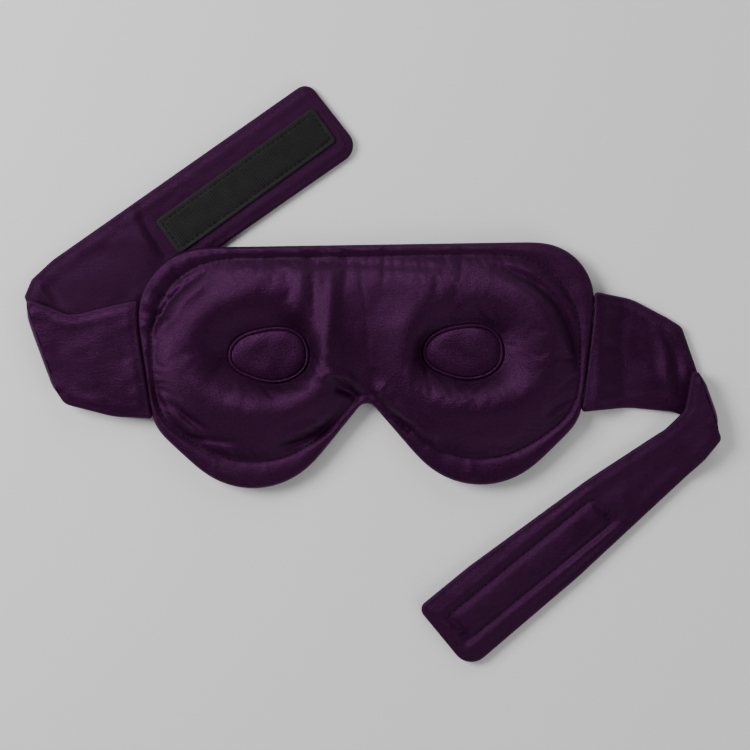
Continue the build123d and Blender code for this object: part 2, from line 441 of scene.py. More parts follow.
class Plan:
    """A closed outline in the plan that can be measured from and filled with a mesh."""

    RINGS = (0.35, 0.8, 1.4, 2.1)
    BATCH = 3000
    KEPT_SHARE = 0.95
    GRID_CLEARANCE = 0.45
    MERGE_DISTANCE = 1e-5

    def __init__(self, points: np.ndarray, step: float = 1.0,
                 sewn: Optional[tuple[Point, Point]] = None) -> None:
        """Keep the outline anticlockwise.

        Args:
            points: Corners of the outline, in millimetres.
            step: Distance between its samples.
            sewn: Ends of a straight edge that carries on into the next piece and stays full.
        """
        area = np.sum(points[:, 0] * np.roll(points[:, 1], -1) - points[:, 1] * np.roll(points[:, 0], -1))
        points = points if area > 0 else points[::-1]
        self.points = resampled(points, step)
        self.ends = np.roll(self.points, -1, axis=0)
        self.lengths = np.hypot(*(self.ends - self.points).T)
        self.along_start = np.concatenate([[0.0], np.cumsum(self.lengths)[:-1]])
        self.free = np.ones(len(self.points), bool)
        if sewn is not None:
            first, last = (np.array(end) for end in sewn)
            span = (last - first) / np.linalg.norm(last - first)
            middles = (self.points + self.ends) / 2.0 - first
            off_line = np.abs(middles[:, 0] * span[1] - middles[:, 1] * span[0])
            on_span = middles @ span
            length = np.linalg.norm(last - first)
            self.free = ~((off_line < 0.4 * step) & (on_span > 0.0) & (on_span < length))

    def nearest(self, where: np.ndarray, free_only: bool = False) -> tuple[np.ndarray, np.ndarray]:
        """Distance to the outline and place along it.

        Args:
            where: Points in the plan.
            free_only: Leave out the edge that carries on into the next piece.

        Returns:
            Distances and lengths along the outline.
        """
        keep = self.free if free_only else np.ones(len(self.points), bool)
        start = self.points[keep]
        span = self.ends[keep] - start
        size = np.maximum((span ** 2).sum(axis=1), 1e-12)
        begin = self.along_start[keep]
        length = self.lengths[keep]
        distances = np.empty(len(where))
        along = np.empty(len(where))
        for low in range(0, len(where), self.BATCH):
            part = slice(low, low + self.BATCH)
            gap = where[part, None, :] - start[None]
            share = np.clip((gap * span).sum(axis=2) / size, 0.0, 1.0)
            gap -= share[..., None] * span
            reach = np.hypot(gap[..., 0], gap[..., 1])
            best = reach.argmin(axis=1)
            rows = np.arange(len(best))
            distances[part] = reach[rows, best]
            along[part] = begin[best] + share[rows, best] * length[best]
        return distances, along

    def contains(self, where: np.ndarray) -> np.ndarray:
        """Whether each point is inside the outline."""
        inside = np.zeros(len(where), bool)
        for (x0, y0), (x1, y1) in zip(self.points, self.ends):
            if y0 == y1:
                continue
            crosses = (where[:, 1] > min(y0, y1)) & (where[:, 1] <= max(y0, y1))
            at = x0 + (where[:, 1] - y0) * (x1 - x0) / (y1 - y0)
            inside ^= crosses & (where[:, 0] < at)
        return inside

    def depth(self, where: np.ndarray, free_only: bool = False) -> np.ndarray:
        """Distance inside the outline; negative outside."""
        distances = self.nearest(where, free_only)[0]
        return np.where(self.contains(where), distances, -distances)

    def moved_in(self, amount: float) -> np.ndarray:
        """Outline samples moved inwards, or outwards for a negative amount."""
        ahead = np.roll(self.points, -2, axis=0) - np.roll(self.points, 2, axis=0)
        normal = np.column_stack([-ahead[:, 1], ahead[:, 0]])
        normal /= np.linalg.norm(normal, axis=1)[:, None]
        moved = self.points + normal * amount
        return moved[self.nearest(moved)[0] >= abs(amount) * self.KEPT_SHARE]

    def filled(self, spacing: float) -> tuple[np.ndarray, np.ndarray, np.ndarray]:
        """Triangles over the whole outline, finer along its edge.

        Args:
            spacing: Distance between points in the middle.

        Returns:
            Points, triangles and the outline's point numbers in order.
        """
        rings = [self.moved_in(ring) for ring in self.RINGS]
        low = self.points.min(axis=0)
        high = self.points.max(axis=0)
        rows = np.arange(low[1], high[1], spacing * math.sqrt(0.75))
        columns = np.arange(low[0], high[0], spacing)
        grid = np.array([(x + (j % 2) * spacing / 2.0, y) for j, y in enumerate(rows) for x in columns])
        grid = grid[self.depth(grid) > self.RINGS[-1] + self.GRID_CLEARANCE * spacing]
        points = np.vstack([self.points, *rings, grid])
        loop = list(range(len(self.points)))
        found = delaunay_2d_cdt([Vector(p) for p in points], [], [loop], 1, self.MERGE_DISTANCE)
        number = {old: new for new, olds in enumerate(found[3]) for old in olds}
        flat = np.array([tuple(v) for v in found[0]])
        return flat, np.array(found[2]), np.array([number[i] for i in loop])


@dataclass(frozen=True)
class Crease:
    """A soft fold along a line in the plan: a ridge when its height is positive."""

    line: tuple[Point, ...]
    height: float
    width: float

    def at(self, where: np.ndarray) -> np.ndarray:
        """Height added at points in the plan."""
        line = np.array(self.line, float)
        for _ in range(3):
            inner = np.empty((2 * (len(line) - 1), 2))
            inner[0::2] = line[:-1] * 0.75 + line[1:] * 0.25
            inner[1::2] = line[:-1] * 0.25 + line[1:] * 0.75
            line = np.vstack([line[:1], inner, line[-1:]])
        start = line[:-1]
        span = np.diff(line, axis=0)
        lengths = np.hypot(*span.T)
        begin = np.concatenate([[0.0], np.cumsum(lengths)[:-1]])
        total = lengths.sum()
        result = np.zeros(len(where))
        reach = 3.0 * self.width
        near = np.all((where > line.min(axis=0) - reach) & (where < line.max(axis=0) + reach), axis=1)
        gap = where[near, None, :] - start[None]
        share = np.clip((gap * span).sum(axis=2) / (lengths ** 2), 0.0, 1.0)
        gap -= share[..., None] * span
        distance = np.hypot(gap[..., 0], gap[..., 1])
        best = distance.argmin(axis=1)
        rows = np.arange(len(best))
        along = (begin[best] + share[rows, best] * lengths[best]) / total
        fade = np.sqrt(np.clip(np.sin(math.pi * (0.04 + 0.92 * along)), 0.0, 1.0))
        result[near] = self.height * fade * np.exp(-((distance[rows, best] / self.width) ** 2))
        return result


class Ripple:
    """Seeded smooth noise in the plan."""

    def __init__(self, seed: int, size: float, waves: int = 20) -> None:
        """Choose the waves.

        Args:
            seed: Seed of the choice.
            size: Usual length of a wave, in millimetres.
            waves: How many waves are added up.
        """
        chance = np.random.default_rng(seed)
        heading = chance.uniform(0.0, math.tau, waves)
        pace = math.tau / (size * chance.uniform(0.65, 1.6, waves))
        self.pace = np.column_stack([np.cos(heading), np.sin(heading)]) * pace[:, None]
        self.phase = chance.uniform(0.0, math.tau, waves)
        self.gain = math.sqrt(2.0 / waves)

    def at(self, where: np.ndarray) -> np.ndarray:
        """Noise at points in the plan, mostly between -2 and 2."""
        return np.sin(where @ self.pace.T + self.phase).sum(axis=1) * self.gain


# ---------------------------------------------------------------- meshes
SHARP_ANGLE = math.radians(65.0)
TUBE_SIDES = 12


def new_object(name: str, mesh: bpy.types.Mesh, finish: bpy.types.Material) -> bpy.types.Object:
    """Put a smooth-shaded mesh into the scene with its material."""
    if not mesh.materials:
        mesh.materials.append(finish)
    mesh.shade_smooth()
    mesh.set_sharp_from_angle(angle=SHARP_ANGLE)
    piece = bpy.data.objects.new(name, mesh)
    bpy.context.scene.collection.objects.link(piece)
    log.info("%s: %d faces", name, len(mesh.polygons))
    return piece


def set_wear_and_shade(mesh: bpy.types.Mesh, values: np.ndarray) -> None:
    """Store each point's wear and painted shade, from 0 to 1."""
    attribute = mesh.attributes.new("wear_and_shade", "FLOAT", "POINT")
    attribute.data.foreach_set("value", np.clip(values, 0.0, 1.0).astype(np.float32))


def shell(name: str, plan: Plan, spacing: float, top: Heights, bottom: Heights,
          finish: bpy.types.Material, wear_and_shade: Optional[Heights] = None) -> bpy.types.Object:
    """Closed form over a plan, between two heights.

    Args:
        name: Name of the piece.
        plan: Outline that is filled.
        spacing: Distance between mesh points.
        top: Height of the upper face at points in the plan.
        bottom: Height of the under face.
        finish: Material of the piece.
        wear_and_shade: Optional wear and painted shade at points in the plan.

    Returns:
        The new piece, in metres.
    """
    flat, triangles, loop = plan.filled(spacing)
    count = len(flat)
    upper = np.column_stack([flat, top(flat)])
    lower = np.column_stack([flat, bottom(flat)])
    points = np.vstack([upper, lower])
    faces = triangles.tolist()
    faces += (triangles[:, ::-1] + count).tolist()
    for here, ahead in zip(loop, np.roll(loop, -1)):
        faces.append((int(ahead), int(here), int(here) + count, int(ahead) + count))
    mesh = bpy.data.meshes.new(name)
    mesh.from_pydata((points * MM).tolist(), [], faces)
    mesh.validate()
    fade = wear_and_shade(flat) if wear_and_shade is not None else np.zeros(count)
    set_wear_and_shade(mesh, np.concatenate([fade, fade]))
    return new_object(name, mesh, finish)


def tube(name: str, line: np.ndarray, radii: tuple[float, float],
         finish: bpy.types.Material) -> bpy.types.Object:
    """Closed ring of round section along a closed line.

    Args:
        name: Name of the piece.
        line: Points of the closed line, in millimetres.
        radii: Half width and half height of the section.
        finish: Material of the piece.

    Returns:
        The new piece, in metres.
    """
    count = len(line)
    ahead = np.roll(line, -1, axis=0) - np.roll(line, 1, axis=0)
    across = np.column_stack([ahead[:, 1], -ahead[:, 0], np.zeros(count)])
    across /= np.linalg.norm(across, axis=1)[:, None]
    points = []
    for turn in np.linspace(0.0, math.tau, TUBE_SIDES, endpoint=False):
        ring = line + across * radii[0] * math.cos(turn)
        ring[:, 2] += radii[1] * math.sin(turn)
        points.append(ring)
    faces = []
    for side in range(TUBE_SIDES):
        low = side * count
        high = ((side + 1) % TUBE_SIDES) * count
        for i in range(count):
            j = (i + 1) % count
            faces.append((low + i, low + j, high + j, high + i))
    mesh = bpy.data.meshes.new(name)
    mesh.from_pydata((np.vstack(points) * MM).tolist(), [], faces)
    set_wear_and_shade(mesh, np.zeros(len(mesh.vertices)))
    return new_object(name, mesh, finish)


# ---------------------------------------------------------------- repeated details
class Detail(Enum):
    """Shape that is repeated along a path."""

    STITCH = "stitch"
    RIB = "rib"


@dataclass(frozen=True)
class RepeatedDetail:
    """Geometry Nodes that lay a small shape along a path again and again."""

    shape: Detail
    pitch: float
    size: tuple[float, float, float]
    jitter: float = 0.05
    seed: int = 7

    def tree(self) -> bpy.types.GeometryNodeTree:
        """Build the node tree.

        Returns:
            The tree, with the path as its geometry and Pitch, Jitter, Seed and Finish as inputs.
        """
        tree = bpy.data.node_groups.new(f"along_path_{self.shape.value}", "GeometryNodeTree")
        face = tree.interface
        face.new_socket("Geometry", in_out="INPUT", socket_type="NodeSocketGeometry")
        face.new_socket("Pitch", in_out="INPUT", socket_type="NodeSocketFloat")
        face.new_socket("Jitter", in_out="INPUT", socket_type="NodeSocketFloat")
        face.new_socket("Seed", in_out="INPUT", socket_type="NodeSocketInt")
        face.new_socket("Finish", in_out="INPUT", socket_type="NodeSocketMaterial")
        face.new_socket("Geometry", in_out="OUTPUT", socket_type="NodeSocketGeometry")

        def add(kind: str, settings: Optional[dict] = None, values: Optional[dict] = None) -> bpy.types.Node:
            """Add a node, set it up, then fill or link its inputs."""
            node = tree.nodes.new(kind)
            for key, setting in (settings or {}).items():
                setattr(node, key, setting)
            for key, value in (values or {}).items():
                if isinstance(value, bpy.types.NodeSocket):
                    tree.links.new(value, node.inputs[key])
                else:
                    node.inputs[key].default_value = value
            return node

        given = add("NodeGroupInput").outputs
        curve = add("GeometryNodeMeshToCurve", None, {"Mesh": given["Geometry"]})
        spaced = {"Curve": curve.outputs[0], "Length": given["Pitch"]}
        spread = add("GeometryNodeResampleCurve", {"mode": "LENGTH"}, spaced)
        tangent = add("GeometryNodeInputTangent").outputs[0]
        upright = (0.0, 0.0, 1.0)
        if self.shape is Detail.STITCH:
            seed = add("GeometryNodeMeshUVSphere", None, {"Segments": 8, "Rings": 6, "Radius": 1.0})
            turn = (0.0, math.pi / 2.0, 0.0)
        else:
            seed = add("GeometryNodeMeshCylinder", None, {"Vertices": 8, "Radius": 1.0, "Depth": 2.0})
            turn = (math.pi / 2.0, 0.0, 0.0)
        lying = add("GeometryNodeTransform", None, {"Geometry": seed.outputs[0], "Rotation": turn})
        size = tuple(half * MM for half in self.size)
        sized = add("GeometryNodeTransform", None, {"Geometry": lying.outputs[0], "Scale": size})
        facing = add("FunctionNodeAlignRotationToVector", {"axis": "X"}, {"Vector": tangent})
        level = {"Rotation": facing.outputs[0], "Vector": upright}
        standing = add("FunctionNodeAlignRotationToVector", {"axis": "Z", "pivot_axis": "X"}, level)
        lower = add("ShaderNodeMath", {"operation": "SUBTRACT"}, {0: 1.0, 1: given["Jitter"]})
        upper = add("ShaderNodeMath", {"operation": "ADD"}, {0: 1.0, 1: given["Jitter"]})
        spread_values = {"Min": lower.outputs[0], "Max": upper.outputs[0], "Seed": given["Seed"]}
        chance = tree.nodes.new("FunctionNodeRandomValue")
        chance.data_type = "FLOAT"
        named = [socket for socket in chance.inputs if socket.enabled]
        for socket in named:
            if socket.name in spread_values:
                tree.links.new(spread_values[socket.name], socket)
        scale = [socket for socket in chance.outputs if socket.enabled][0]
        placed = {
            "Points": spread.outputs[0],
            "Instance": sized.outputs[0],
            "Rotation": standing.outputs[0],
            "Scale": scale,
        }
        copies = add("GeometryNodeInstanceOnPoints", None, placed)
        real = add("GeometryNodeRealizeInstances", None, {"Geometry": copies.outputs[0]})
        dressed = {"Geometry": real.outputs[0], "Material": given["Finish"]}
        done = add("GeometryNodeSetMaterial", None, dressed)
        add("NodeGroupOutput", None, {"Geometry": done.outputs[0]})
        return tree

    def along(self, name: str, path: np.ndarray, closed: bool, finish: bpy.types.Material) -> bpy.types.Object:
        """Lay the shape along a path and keep the result as a plain mesh.

        Args:
            name: Name of the piece.
            path: Points of the path, in millimetres.
            closed: Whether the path ends where it starts.
            finish: Material of the shapes.

        Returns:
            The new piece.
        """
        line = bpy.data.meshes.new(f"{name}_path")
        count = len(path)
        edges = [(i, i + 1) for i in range(count - 1)]
        edges += [(count - 1, 0)] if closed else []
        line.from_pydata((path * MM).tolist(), edges, [])
        guide = bpy.data.objects.new(f"{name}_guide", line)
        bpy.context.scene.collection.objects.link(guide)
        modifier = guide.modifiers.new("along_path", "NODES")
        modifier.node_group = self.tree()
        values = {"Pitch": self.pitch * MM, "Jitter": self.jitter, "Seed": self.seed, "Finish": finish}
        for item in modifier.node_group.interface.items_tree:
            if item.in_out == "INPUT" and item.name in values:
                modifier[item.identifier] = values[item.name]
        graph = bpy.context.evaluated_depsgraph_get()
        mesh = bpy.data.meshes.new_from_object(guide.evaluated_get(graph), depsgraph=graph)
        mesh.name = name
        bpy.data.objects.remove(guide)
        mesh.materials.clear()
        return new_object(name, mesh, finish)


def stitched(detail: RepeatedDetail, name: str, node: str, path: np.ndarray, closed: bool,
             thread: bpy.types.Material) -> bpy.types.Object:
    """Lay a seam along a path in place of its CAD node.

    Args:
        detail: The stitch and its pitch.
        name: Name of the piece.
        node: CAD node that it stands for.
        path: Points of the seam, in millimetres.
        closed: Whether the seam ends where it starts.
        thread: Material of the thread.

    Returns:
        The piece, not yet riding on anything.
    """
    piece = detail.along(name, path, closed, thread)
    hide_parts(node)
    return piece


# ---------------------------------------------------------------- levels shared by all assemblies
@dataclass(frozen=True)
class Levels:
    """Heights of the layers over the table, in millimetres."""

    strap: float = 3.6
    tape: float = 1.0
    upper: float = 5.0
    seam: float = 6.2
    rim: float = 7.6
    pad: float = 12.2
    crest: float = 16.8
    cup_floor: float = 7.0

    @property
    def fold_axis(self) -> float:
        """Height of the line that both straps fold about."""
        return (self.upper + self.strap) / 2.0

    @property
    def side_axis(self) -> float:
        """Height of the top of a wing at its seam."""
        return self.upper + self.strap


LEVELS = Levels()


# ---------------------------------------------------------------- cloth
@dataclass(frozen=True)
class ClothSettling:
    """A short cloth simulation that puffs slack fabric and lets it pucker along its seams."""

    scale: float = 10.0
    pressure: float = 4.0
    slack: float = 0.014
    frames: int = 20
    cap: float = 1.6
    mass: float = 0.01
    stiffness: float = 15.0
    give: float = 3.0
    bending: float = 0.05
    quality: int = 6

    def run(self, piece: bpy.types.Object, free: np.ndarray) -> np.ndarray:
        """Simulate a copy of a piece.

        Args:
            piece: Piece in metres.
            free: 1 where the fabric may move, 0 where it is held.

        Returns:
            The settled points in millimetres.
        """
        mesh = piece.data.copy()
        start = np.empty(len(mesh.vertices) * 3)
        mesh.vertices.foreach_get("co", start)
        mesh.vertices.foreach_set("co", start * self.scale)
        copy = bpy.data.objects.new("settling", mesh)
        bpy.context.scene.collection.objects.link(copy)
        held = copy.vertex_groups.new(name="held")
        levels = np.round(1.0 - free, 1)
        for level in np.unique(levels):
            held.add(np.flatnonzero(levels == level).tolist(), float(level), "REPLACE")
        cloth = copy.modifiers.new("cloth", "CLOTH")
        settings = cloth.settings
        settings.quality = self.quality
        settings.mass = self.mass
        settings.tension_stiffness = self.stiffness
        settings.compression_stiffness = self.stiffness / self.give
        settings.shear_stiffness = self.stiffness / self.give
        settings.bending_stiffness = self.bending
        settings.use_pressure = True
        settings.uniform_pressure_force = self.pressure
        settings.shrink_min = -self.slack
        settings.vertex_group_mass = "held"
        settings.effector_weights.gravity = 0.0
        scene = bpy.context.scene
        for frame_number in range(1, self.frames + 1):
            scene.frame_set(frame_number)
        graph = bpy.context.evaluated_depsgraph_get()
        settled = copy.evaluated_get(graph).to_mesh()
        end = np.empty(len(settled.vertices) * 3)
        settled.vertices.foreach_get("co", end)
        copy.evaluated_get(graph).to_mesh_clear()
        bpy.data.objects.remove(copy)
        scene.frame_set(1)
        start = start.reshape(-1, 3) / MM
        moved = end.reshape(-1, 3) / self.scale / MM - start
        size = np.linalg.norm(moved, axis=1)
        moved *= (np.tanh(size / self.cap) * self.cap / np.maximum(size, 1e-9))[:, None]
        log.info("cloth settled: up to %.2f mm, %.2f mm on average", size.max(), size.mean())
        return start + moved


# ---------------------------------------------------------------- padded mask
@dataclass(frozen=True)
class EyeCup:
    """One eye opening: an egg-shaped floor, a flared wall and a raised crest round it."""

    side: int
    spacing: float = 91.0
    y: float = 2.9
    width: float = 38.0
    height: float = 26.0
    crest_outer: float = 36.0
    crest_inner: float = 26.5
    crest_top: float = 25.5
    crest_bottom: float = 22.5
    inner_drop: float = 0.0
    upper_drop: float = 3.4
    temple_drop: float = 1.3
    spread: float = 12.0
    squareness: float = 2.2

    def polar(self, where: np.ndarray) -> tuple[np.ndarray, np.ndarray]:
        """Distance from the middle of the opening and heading."""
        dx = where[:, 0] - self.side * self.spacing / 2.0
        dy = where[:, 1] - self.y
        return np.hypot(dx, dy), np.arctan2(dy, dx)

    def floor_reach(self, heading: np.ndarray, inset: float = 0.0) -> np.ndarray:
        """Half size of the floor at each heading: squarer above, rounder below."""
        power = self.squareness + 0.30 * np.sin(heading)
        egg = 1.0 + 0.12 * np.cos(heading)
        across = np.abs(np.cos(heading) / (self.width / 2.0 - inset)) ** power
        upright = np.abs(np.sin(heading) / ((self.height / 2.0 - inset) * egg)) ** power
        return (across + upright) ** (-1.0 / power)

    def crest_reach(self, heading: np.ndarray) -> np.ndarray:
        """Half size of the crest at each heading, wider towards the temple."""
        outward = np.cos(heading) * self.side
        half_x = np.where(outward > 0, self.crest_outer, self.crest_inner)
        half_y = np.where(np.sin(heading) > 0, self.crest_top, self.crest_bottom)
        across = np.abs(np.cos(heading) / half_x) ** self.squareness
        upright = np.abs(np.sin(heading) / half_y) ** self.squareness
        return (across + upright) ** (-1.0 / self.squareness)

    def outline(self, inset: float, count: int = 180) -> np.ndarray:
        """Points round the floor, moved inwards by an inset."""
        heading = np.linspace(0.0, math.tau, count, endpoint=False)
        reach = self.floor_reach(heading, inset)
        x = self.side * self.spacing / 2.0 + reach * np.cos(heading)
        return np.column_stack([x, self.y + reach * np.sin(heading)])

    def shape(self, where: np.ndarray, height: np.ndarray) -> np.ndarray:
        """Raise the crest and sink the cup into the padding.

        Args:
            where: Points in the plan.
            height: Height of the padding there.

        Returns:
            The new heights.
        """
        distance, heading = self.polar(where)
        floor = self.floor_reach(heading, -0.2)
        crest = self.crest_reach(heading)
        outward = np.cos(heading) * self.side
        top = LEVELS.crest - self.temple_drop * np.clip(outward, 0.0, 1.0) ** 2
        top -= self.inner_drop * np.clip(-outward, 0.0, 1.0) ** 2
        top -= self.upper_drop * np.clip(np.sin(heading), 0.0, 1.0) ** 2
        away = np.clip(distance - crest, 0.0, None)
        raised = height + (top - LEVELS.pad) * bell(away, self.spread)
        share = np.clip((distance - floor) / (crest - floor), 0.0, 1.0)
        wall = np.sin(math.pi / 2.0 * share)
        sunk = LEVELS.cup_floor + (raised - LEVELS.cup_floor) * wall
        return np.where(distance < crest, sunk, raised)


@dataclass
class PaddedMask:
    """The padded mask: a relief of satin over foam, sewn to a flat rim and a quilted back."""

    half_width: float = 111.5
    top: float = 54.0
    pad_side: float = 12.0
    pad_top: float = 8.0
    stitch_margin: float = 2.6
    stitch_gap: float = 16.0
    piping_width: float = 1.8
    insert_height: float = 2.6
    seam_half: float = 0.05
    edge_half: float = 0.15
    edge_roll: float = 1.5
    flange_puff: float = 0.9
    seam_groove: float = 0.42
    pad_ramp: float = 8.0
    gather_reach: float = 3.6
    crease_share: float = 0.6
    spacing: float = 1.25
    insert_spacing: float = 1.3

    def __post_init__(self) -> None:
        """Lay out the outline, the padding and the folds."""
        right = [(self.half_width, self.top, 27.0), (self.half_width - 11.5, -30.0, 16.0), (50.0, -77.5, 39.0)]
        corners = self._mirrored(right, (0.0, -17.5, 5.0))
        corners[-1] = (*corners[-1][:2], 32.0)
        self.outline = Plan(softened(rounded(corners), 4.5, self._at_nose))
        side = self.half_width - self.pad_side
        right = [(side, self.top - self.pad_top, 34.0), (side - 3.0, -24.0, 20.0), (47.0, -58.0, 44.0)]
        self.padding = Plan(softened(rounded(self._mirrored(right, (0.0, -9.5, 8.0))), 6.0, self._at_nose))
        self.cups = (EyeCup(-1), EyeCup(1, crest_outer=37.0, inner_drop=2.2))
        self.broad = Ripple(11, 34.0)
        self.middle = Ripple(12, 13.0)
        self.fine = Ripple(13, 6.0)
        self.gather = Ripple(14, 26.0)
        self.creases = self._creases()

    @staticmethod
    def _mirrored(right: list, middle: tuple) -> list:
        """Corners of both halves with the nose between them."""
        left = [(-x, y, r) for x, y, r in reversed(right)]
        return [*right, middle, *left]

    @staticmethod
    def _at_nose(line: np.ndarray) -> np.ndarray:
        """1 in the notch under the nose, 0 away from it."""
        return (1.0 - smooth_step(np.abs(line[:, 0]), 10.0, 20.0)) * (line[:, 1] < 0.0)

    @staticmethod
    def _creases() -> list[Crease]:
        """Folds of the satin over the padding."""
        return [
            Crease(((-16, 46), (-16, 28), (-17, 12), (-19, -6)), 1.5, 4.0),
            Crease(((-30, 47), (-30, 33), (-32, 20)), 0.7, 3.0),
            Crease(((-23, 47), (-23, 33), (-25, 18)), -0.5, 3.0),
            Crease(((-30, 54), (-25, 48)), -0.8, 1.2),
            Crease(((-22, 54), (-16, 49)), -0.8, 1.2),
            Crease(((-14, 53), (-7, 49)), -0.8, 1.2),
            Crease(((-30, 45), (-9, 46), (10, 44), (35, 42)), -0.7, 2.0),
            Crease(((-101, 15), (-95, 24), (-88, 33), (-77, 41)), -1.2, 1.5),
            Crease(((-97, 13), (-90, 22), (-83, 30), (-73, 37)), 0.8, 2.6),
            Crease(((-99, 34), (-92, 30)), -0.8, 1.2),
            Crease(((-90, 44), (-85, 37)), -0.8, 1.2),
            Crease(((-104, 24), (-96, 21)), -0.8, 1.2),
            Crease(((-100, -9), (-98, -16), (-95, -23)), -1.2, 1.8),
            Crease(((-92, -18), (-83, -26), (-74, -32)), -1.4, 2.0),
            Crease(((-95, -16), (-87, -26), (-77, -34)), 0.8, 1.8),
            Crease(((-84, -34), (-74, -36), (-62, -37)), -1.3, 1.8),
            Crease(((62, 42), (78, 36), (90, 25), (96, 12), (99, -3)), -2.4, 2.3),
            Crease(((60, 36), (75, 30), (86, 19), (90, 6)), 0.8, 4.0),
            Crease(((83, -27), (89, -22), (95, -19)), -1.0, 2.0),
            Crease(((75, -32), (83, -33)), -0.8, 1.8),
            Crease(((-19, -6), (-12, -7), (-7, -9), (-2, -15), (-1, -19)), 1.7, 2.0),
            Crease(((-15, -12), (-9, -14), (-4, -18)), -2.0, 2.4),
            Crease(((4, -25), (12, -27), (24, -35)), -1.5, 2.0),
            Crease(((5, -14), (9, -18), (18, -27), (30, -38)), 2.0, 3.6),
            Crease(((-42, -41), (-28, -37), (-15, -30)), -1.4, 1.8),
            Crease(((-38, -35), (-26, -31), (-15, -23)), 1.1, 2.6),
            Crease(((5, -13), (8, -15)), 1.6, 4.0),
            Crease(((-72, -45), (-71, -55)), 0.4, 1.4),
            Crease(((-48, -47), (-47, -57)), 0.4, 1.4),
            Crease(((48, -48), (49, -57)), 0.4, 1.4),
            Crease(((70, -44), (74, -51)), 0.4, 1.4),
            Crease(((-104, 30), (-99, 27)), 0.6, 1.3),
            Crease(((-107, 18), (-101, 17)), 0.6, 1.3),
            Crease(((-107, 5), (-102, 6)), 0.5, 1.3),
            Crease(((-106, -9), (-101, -7)), 0.5, 1.3),
            Crease(((-97, 44), (-92, 38)), 0.7, 1.5),
            Crease(((-85, 50), (-82, 44)), 0.6, 1.4),
        ]

    def face_height(self, where: np.ndarray) -> np.ndarray:
        """Upper side of the mask, which lies against the face."""
        inside = self.outline.depth(where)
        distance, along = self.padding.nearest(where)
        seam = np.where(self.padding.contains(where), distance, -distance) + self.stitch_margin
        outer = np.clip(-seam, 0.0, None)
        share = np.clip(inside, 0.0, None) / (np.clip(inside, 0.0, None) + outer + 0.01)
        low = LEVELS.seam + self.edge_half
        rim = low + (LEVELS.rim - low) * rolled(inside, self.edge_roll)
        rim += self.flange_puff * 4.0 * share * (1.0 - share) * smooth_step(outer, 0.0, 2.0)
        rim -= 0.16 * bell(inside - 2.2, 0.6)
        rise = (LEVELS.pad - LEVELS.rim) * (1.0 - np.exp(-((np.clip(seam, 0.0, None) / self.pad_ramp) ** 1.25)))
        line = np.column_stack([along, along * 0.35])
        strength = 0.5 + 0.5 * np.tanh(self.broad.at(line))
        upper = 0.35 + 0.65 * smooth_step(where[:, 1], -15.0, 20.0)
        temple = smooth_step(-where[:, 0], 55.0, 85.0) * smooth_step(where[:, 1], -25.0, 15.0)
        tuck = self.gather.at(line * 4.2) * (0.18 + 0.34 * temple) * strength * upper
        tuck *= np.exp(-np.abs(seam) / self.gather_reach)
        height = rim + rise + tuck - self.seam_groove * bell(seam, 0.8)
        for cup in self.cups:
            height = cup.shape(where, height)
        soft = smooth_step(seam, 0.5, 8.0)
        for crease in self.creases:
            height = height + crease.at(where)
        for cup in self.cups:
            reach, heading = cup.polar(where)
            soft = soft * smooth_step(reach - cup.floor_reach(heading), -1.0, 6.0)
        uneven = 0.30 * self.broad.at(where) + 0.07 * self.middle.at(where) + 0.012 * self.fine.at(where)
        height += soft * uneven
        flange = smooth_step(inside, 0.3, 2.5)
        height += (1.0 - soft) * flange * 0.09 * self.middle.at(where)
        return np.maximum(height, LEVELS.seam + 0.1)

    def back_height(self, where: np.ndarray) -> np.ndarray:
        """Underside of the mask, which lies on the table."""
        inside = self.outline.depth(where)
        seam = self.padding.depth(where) + self.stitch_margin
        high = LEVELS.seam - self.edge_half
        rim = high - (high - LEVELS.upper) * rolled(inside, self.edge_roll)
        drop = (LEVELS.upper + 0.2) * (1.0 - np.exp(-np.clip(seam, 0.0, None) / 3.6))
        groove = 0.5 * bell(seam, 0.95)
        quilt = np.clip(0.25 * self.middle.at(where) - 0.1, 0.0, None) * smooth_step(seam, 1.0, 9.0)
        return np.clip(rim - drop + groove + quilt, 0.0, LEVELS.seam - 0.1)

    def wear_and_shade_at(self, where: np.ndarray) -> np.ndarray:
        """Rubbed rim, and painted shade darkening the pulled-down seam."""
        inside = self.outline.depth(where)
        seam = self.padding.depth(where) + self.stitch_margin
        # painted shade: the seam term darkens the satin's colour in the stitched groove
        return 0.7 * bell(inside, 0.9) + 0.9 * bell(seam, 0.7)

    def stitch_line(self) -> np.ndarray:
        """Topstitching round the padding, open under the nose."""
        ring = self.padding.moved_in(-self.stitch_margin)
        sewn = (np.abs(ring[:, 0]) >= self.stitch_gap) | (ring[:, 1] >= 0.0)
        first = int(np.argmax(np.roll(sewn, 1) < sewn))
        kept = np.roll(ring, -first, axis=0)[np.roll(sewn, -first)]
        return np.column_stack([kept, self.face_height(kept) + 0.05])

    def build(self, satin: bpy.types.Material, cover: bpy.types.Material, thread: bpy.types.Material) -> None:
        """Make the pieces that ride with the mask.

        Args:
            satin: Material of the panels.
            cover: Material of the eye inserts.
            thread: Material of the topstitching.
        """
        inside_top = level_at(LEVELS.seam - self.seam_half)
        inside_bottom = level_at(LEVELS.seam + self.seam_half)
        face = shell("face_cover", self.outline, self.spacing, self.face_height, inside_bottom,
                     satin, self.wear_and_shade_at)
        back = shell("outer_cover", self.outline, 2.0 * self.spacing, inside_top, self.back_height,
                     satin, self.wear_and_shade_at)
        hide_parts("face_panel", "core_pad", "left_ring_pad", "right_ring_pad")
        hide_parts("outer_panel")
        self._settle(face)
        pieces = [face, back]
        for cup, name in zip(self.cups, ("left", "right")):
            pieces.append(self._insert(cup, name, cover))
            pieces.append(self._piping(cup, name, satin))
        stitches = RepeatedDetail(Detail.STITCH, 2.7, (1.05, 0.40, 0.22), seed=3)
        line = self.stitch_line()
        pieces.append(stitched(stitches, "panel_topstitch", "panel_stitching", line, False, thread))
        for piece in pieces:
            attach(piece, "mask")

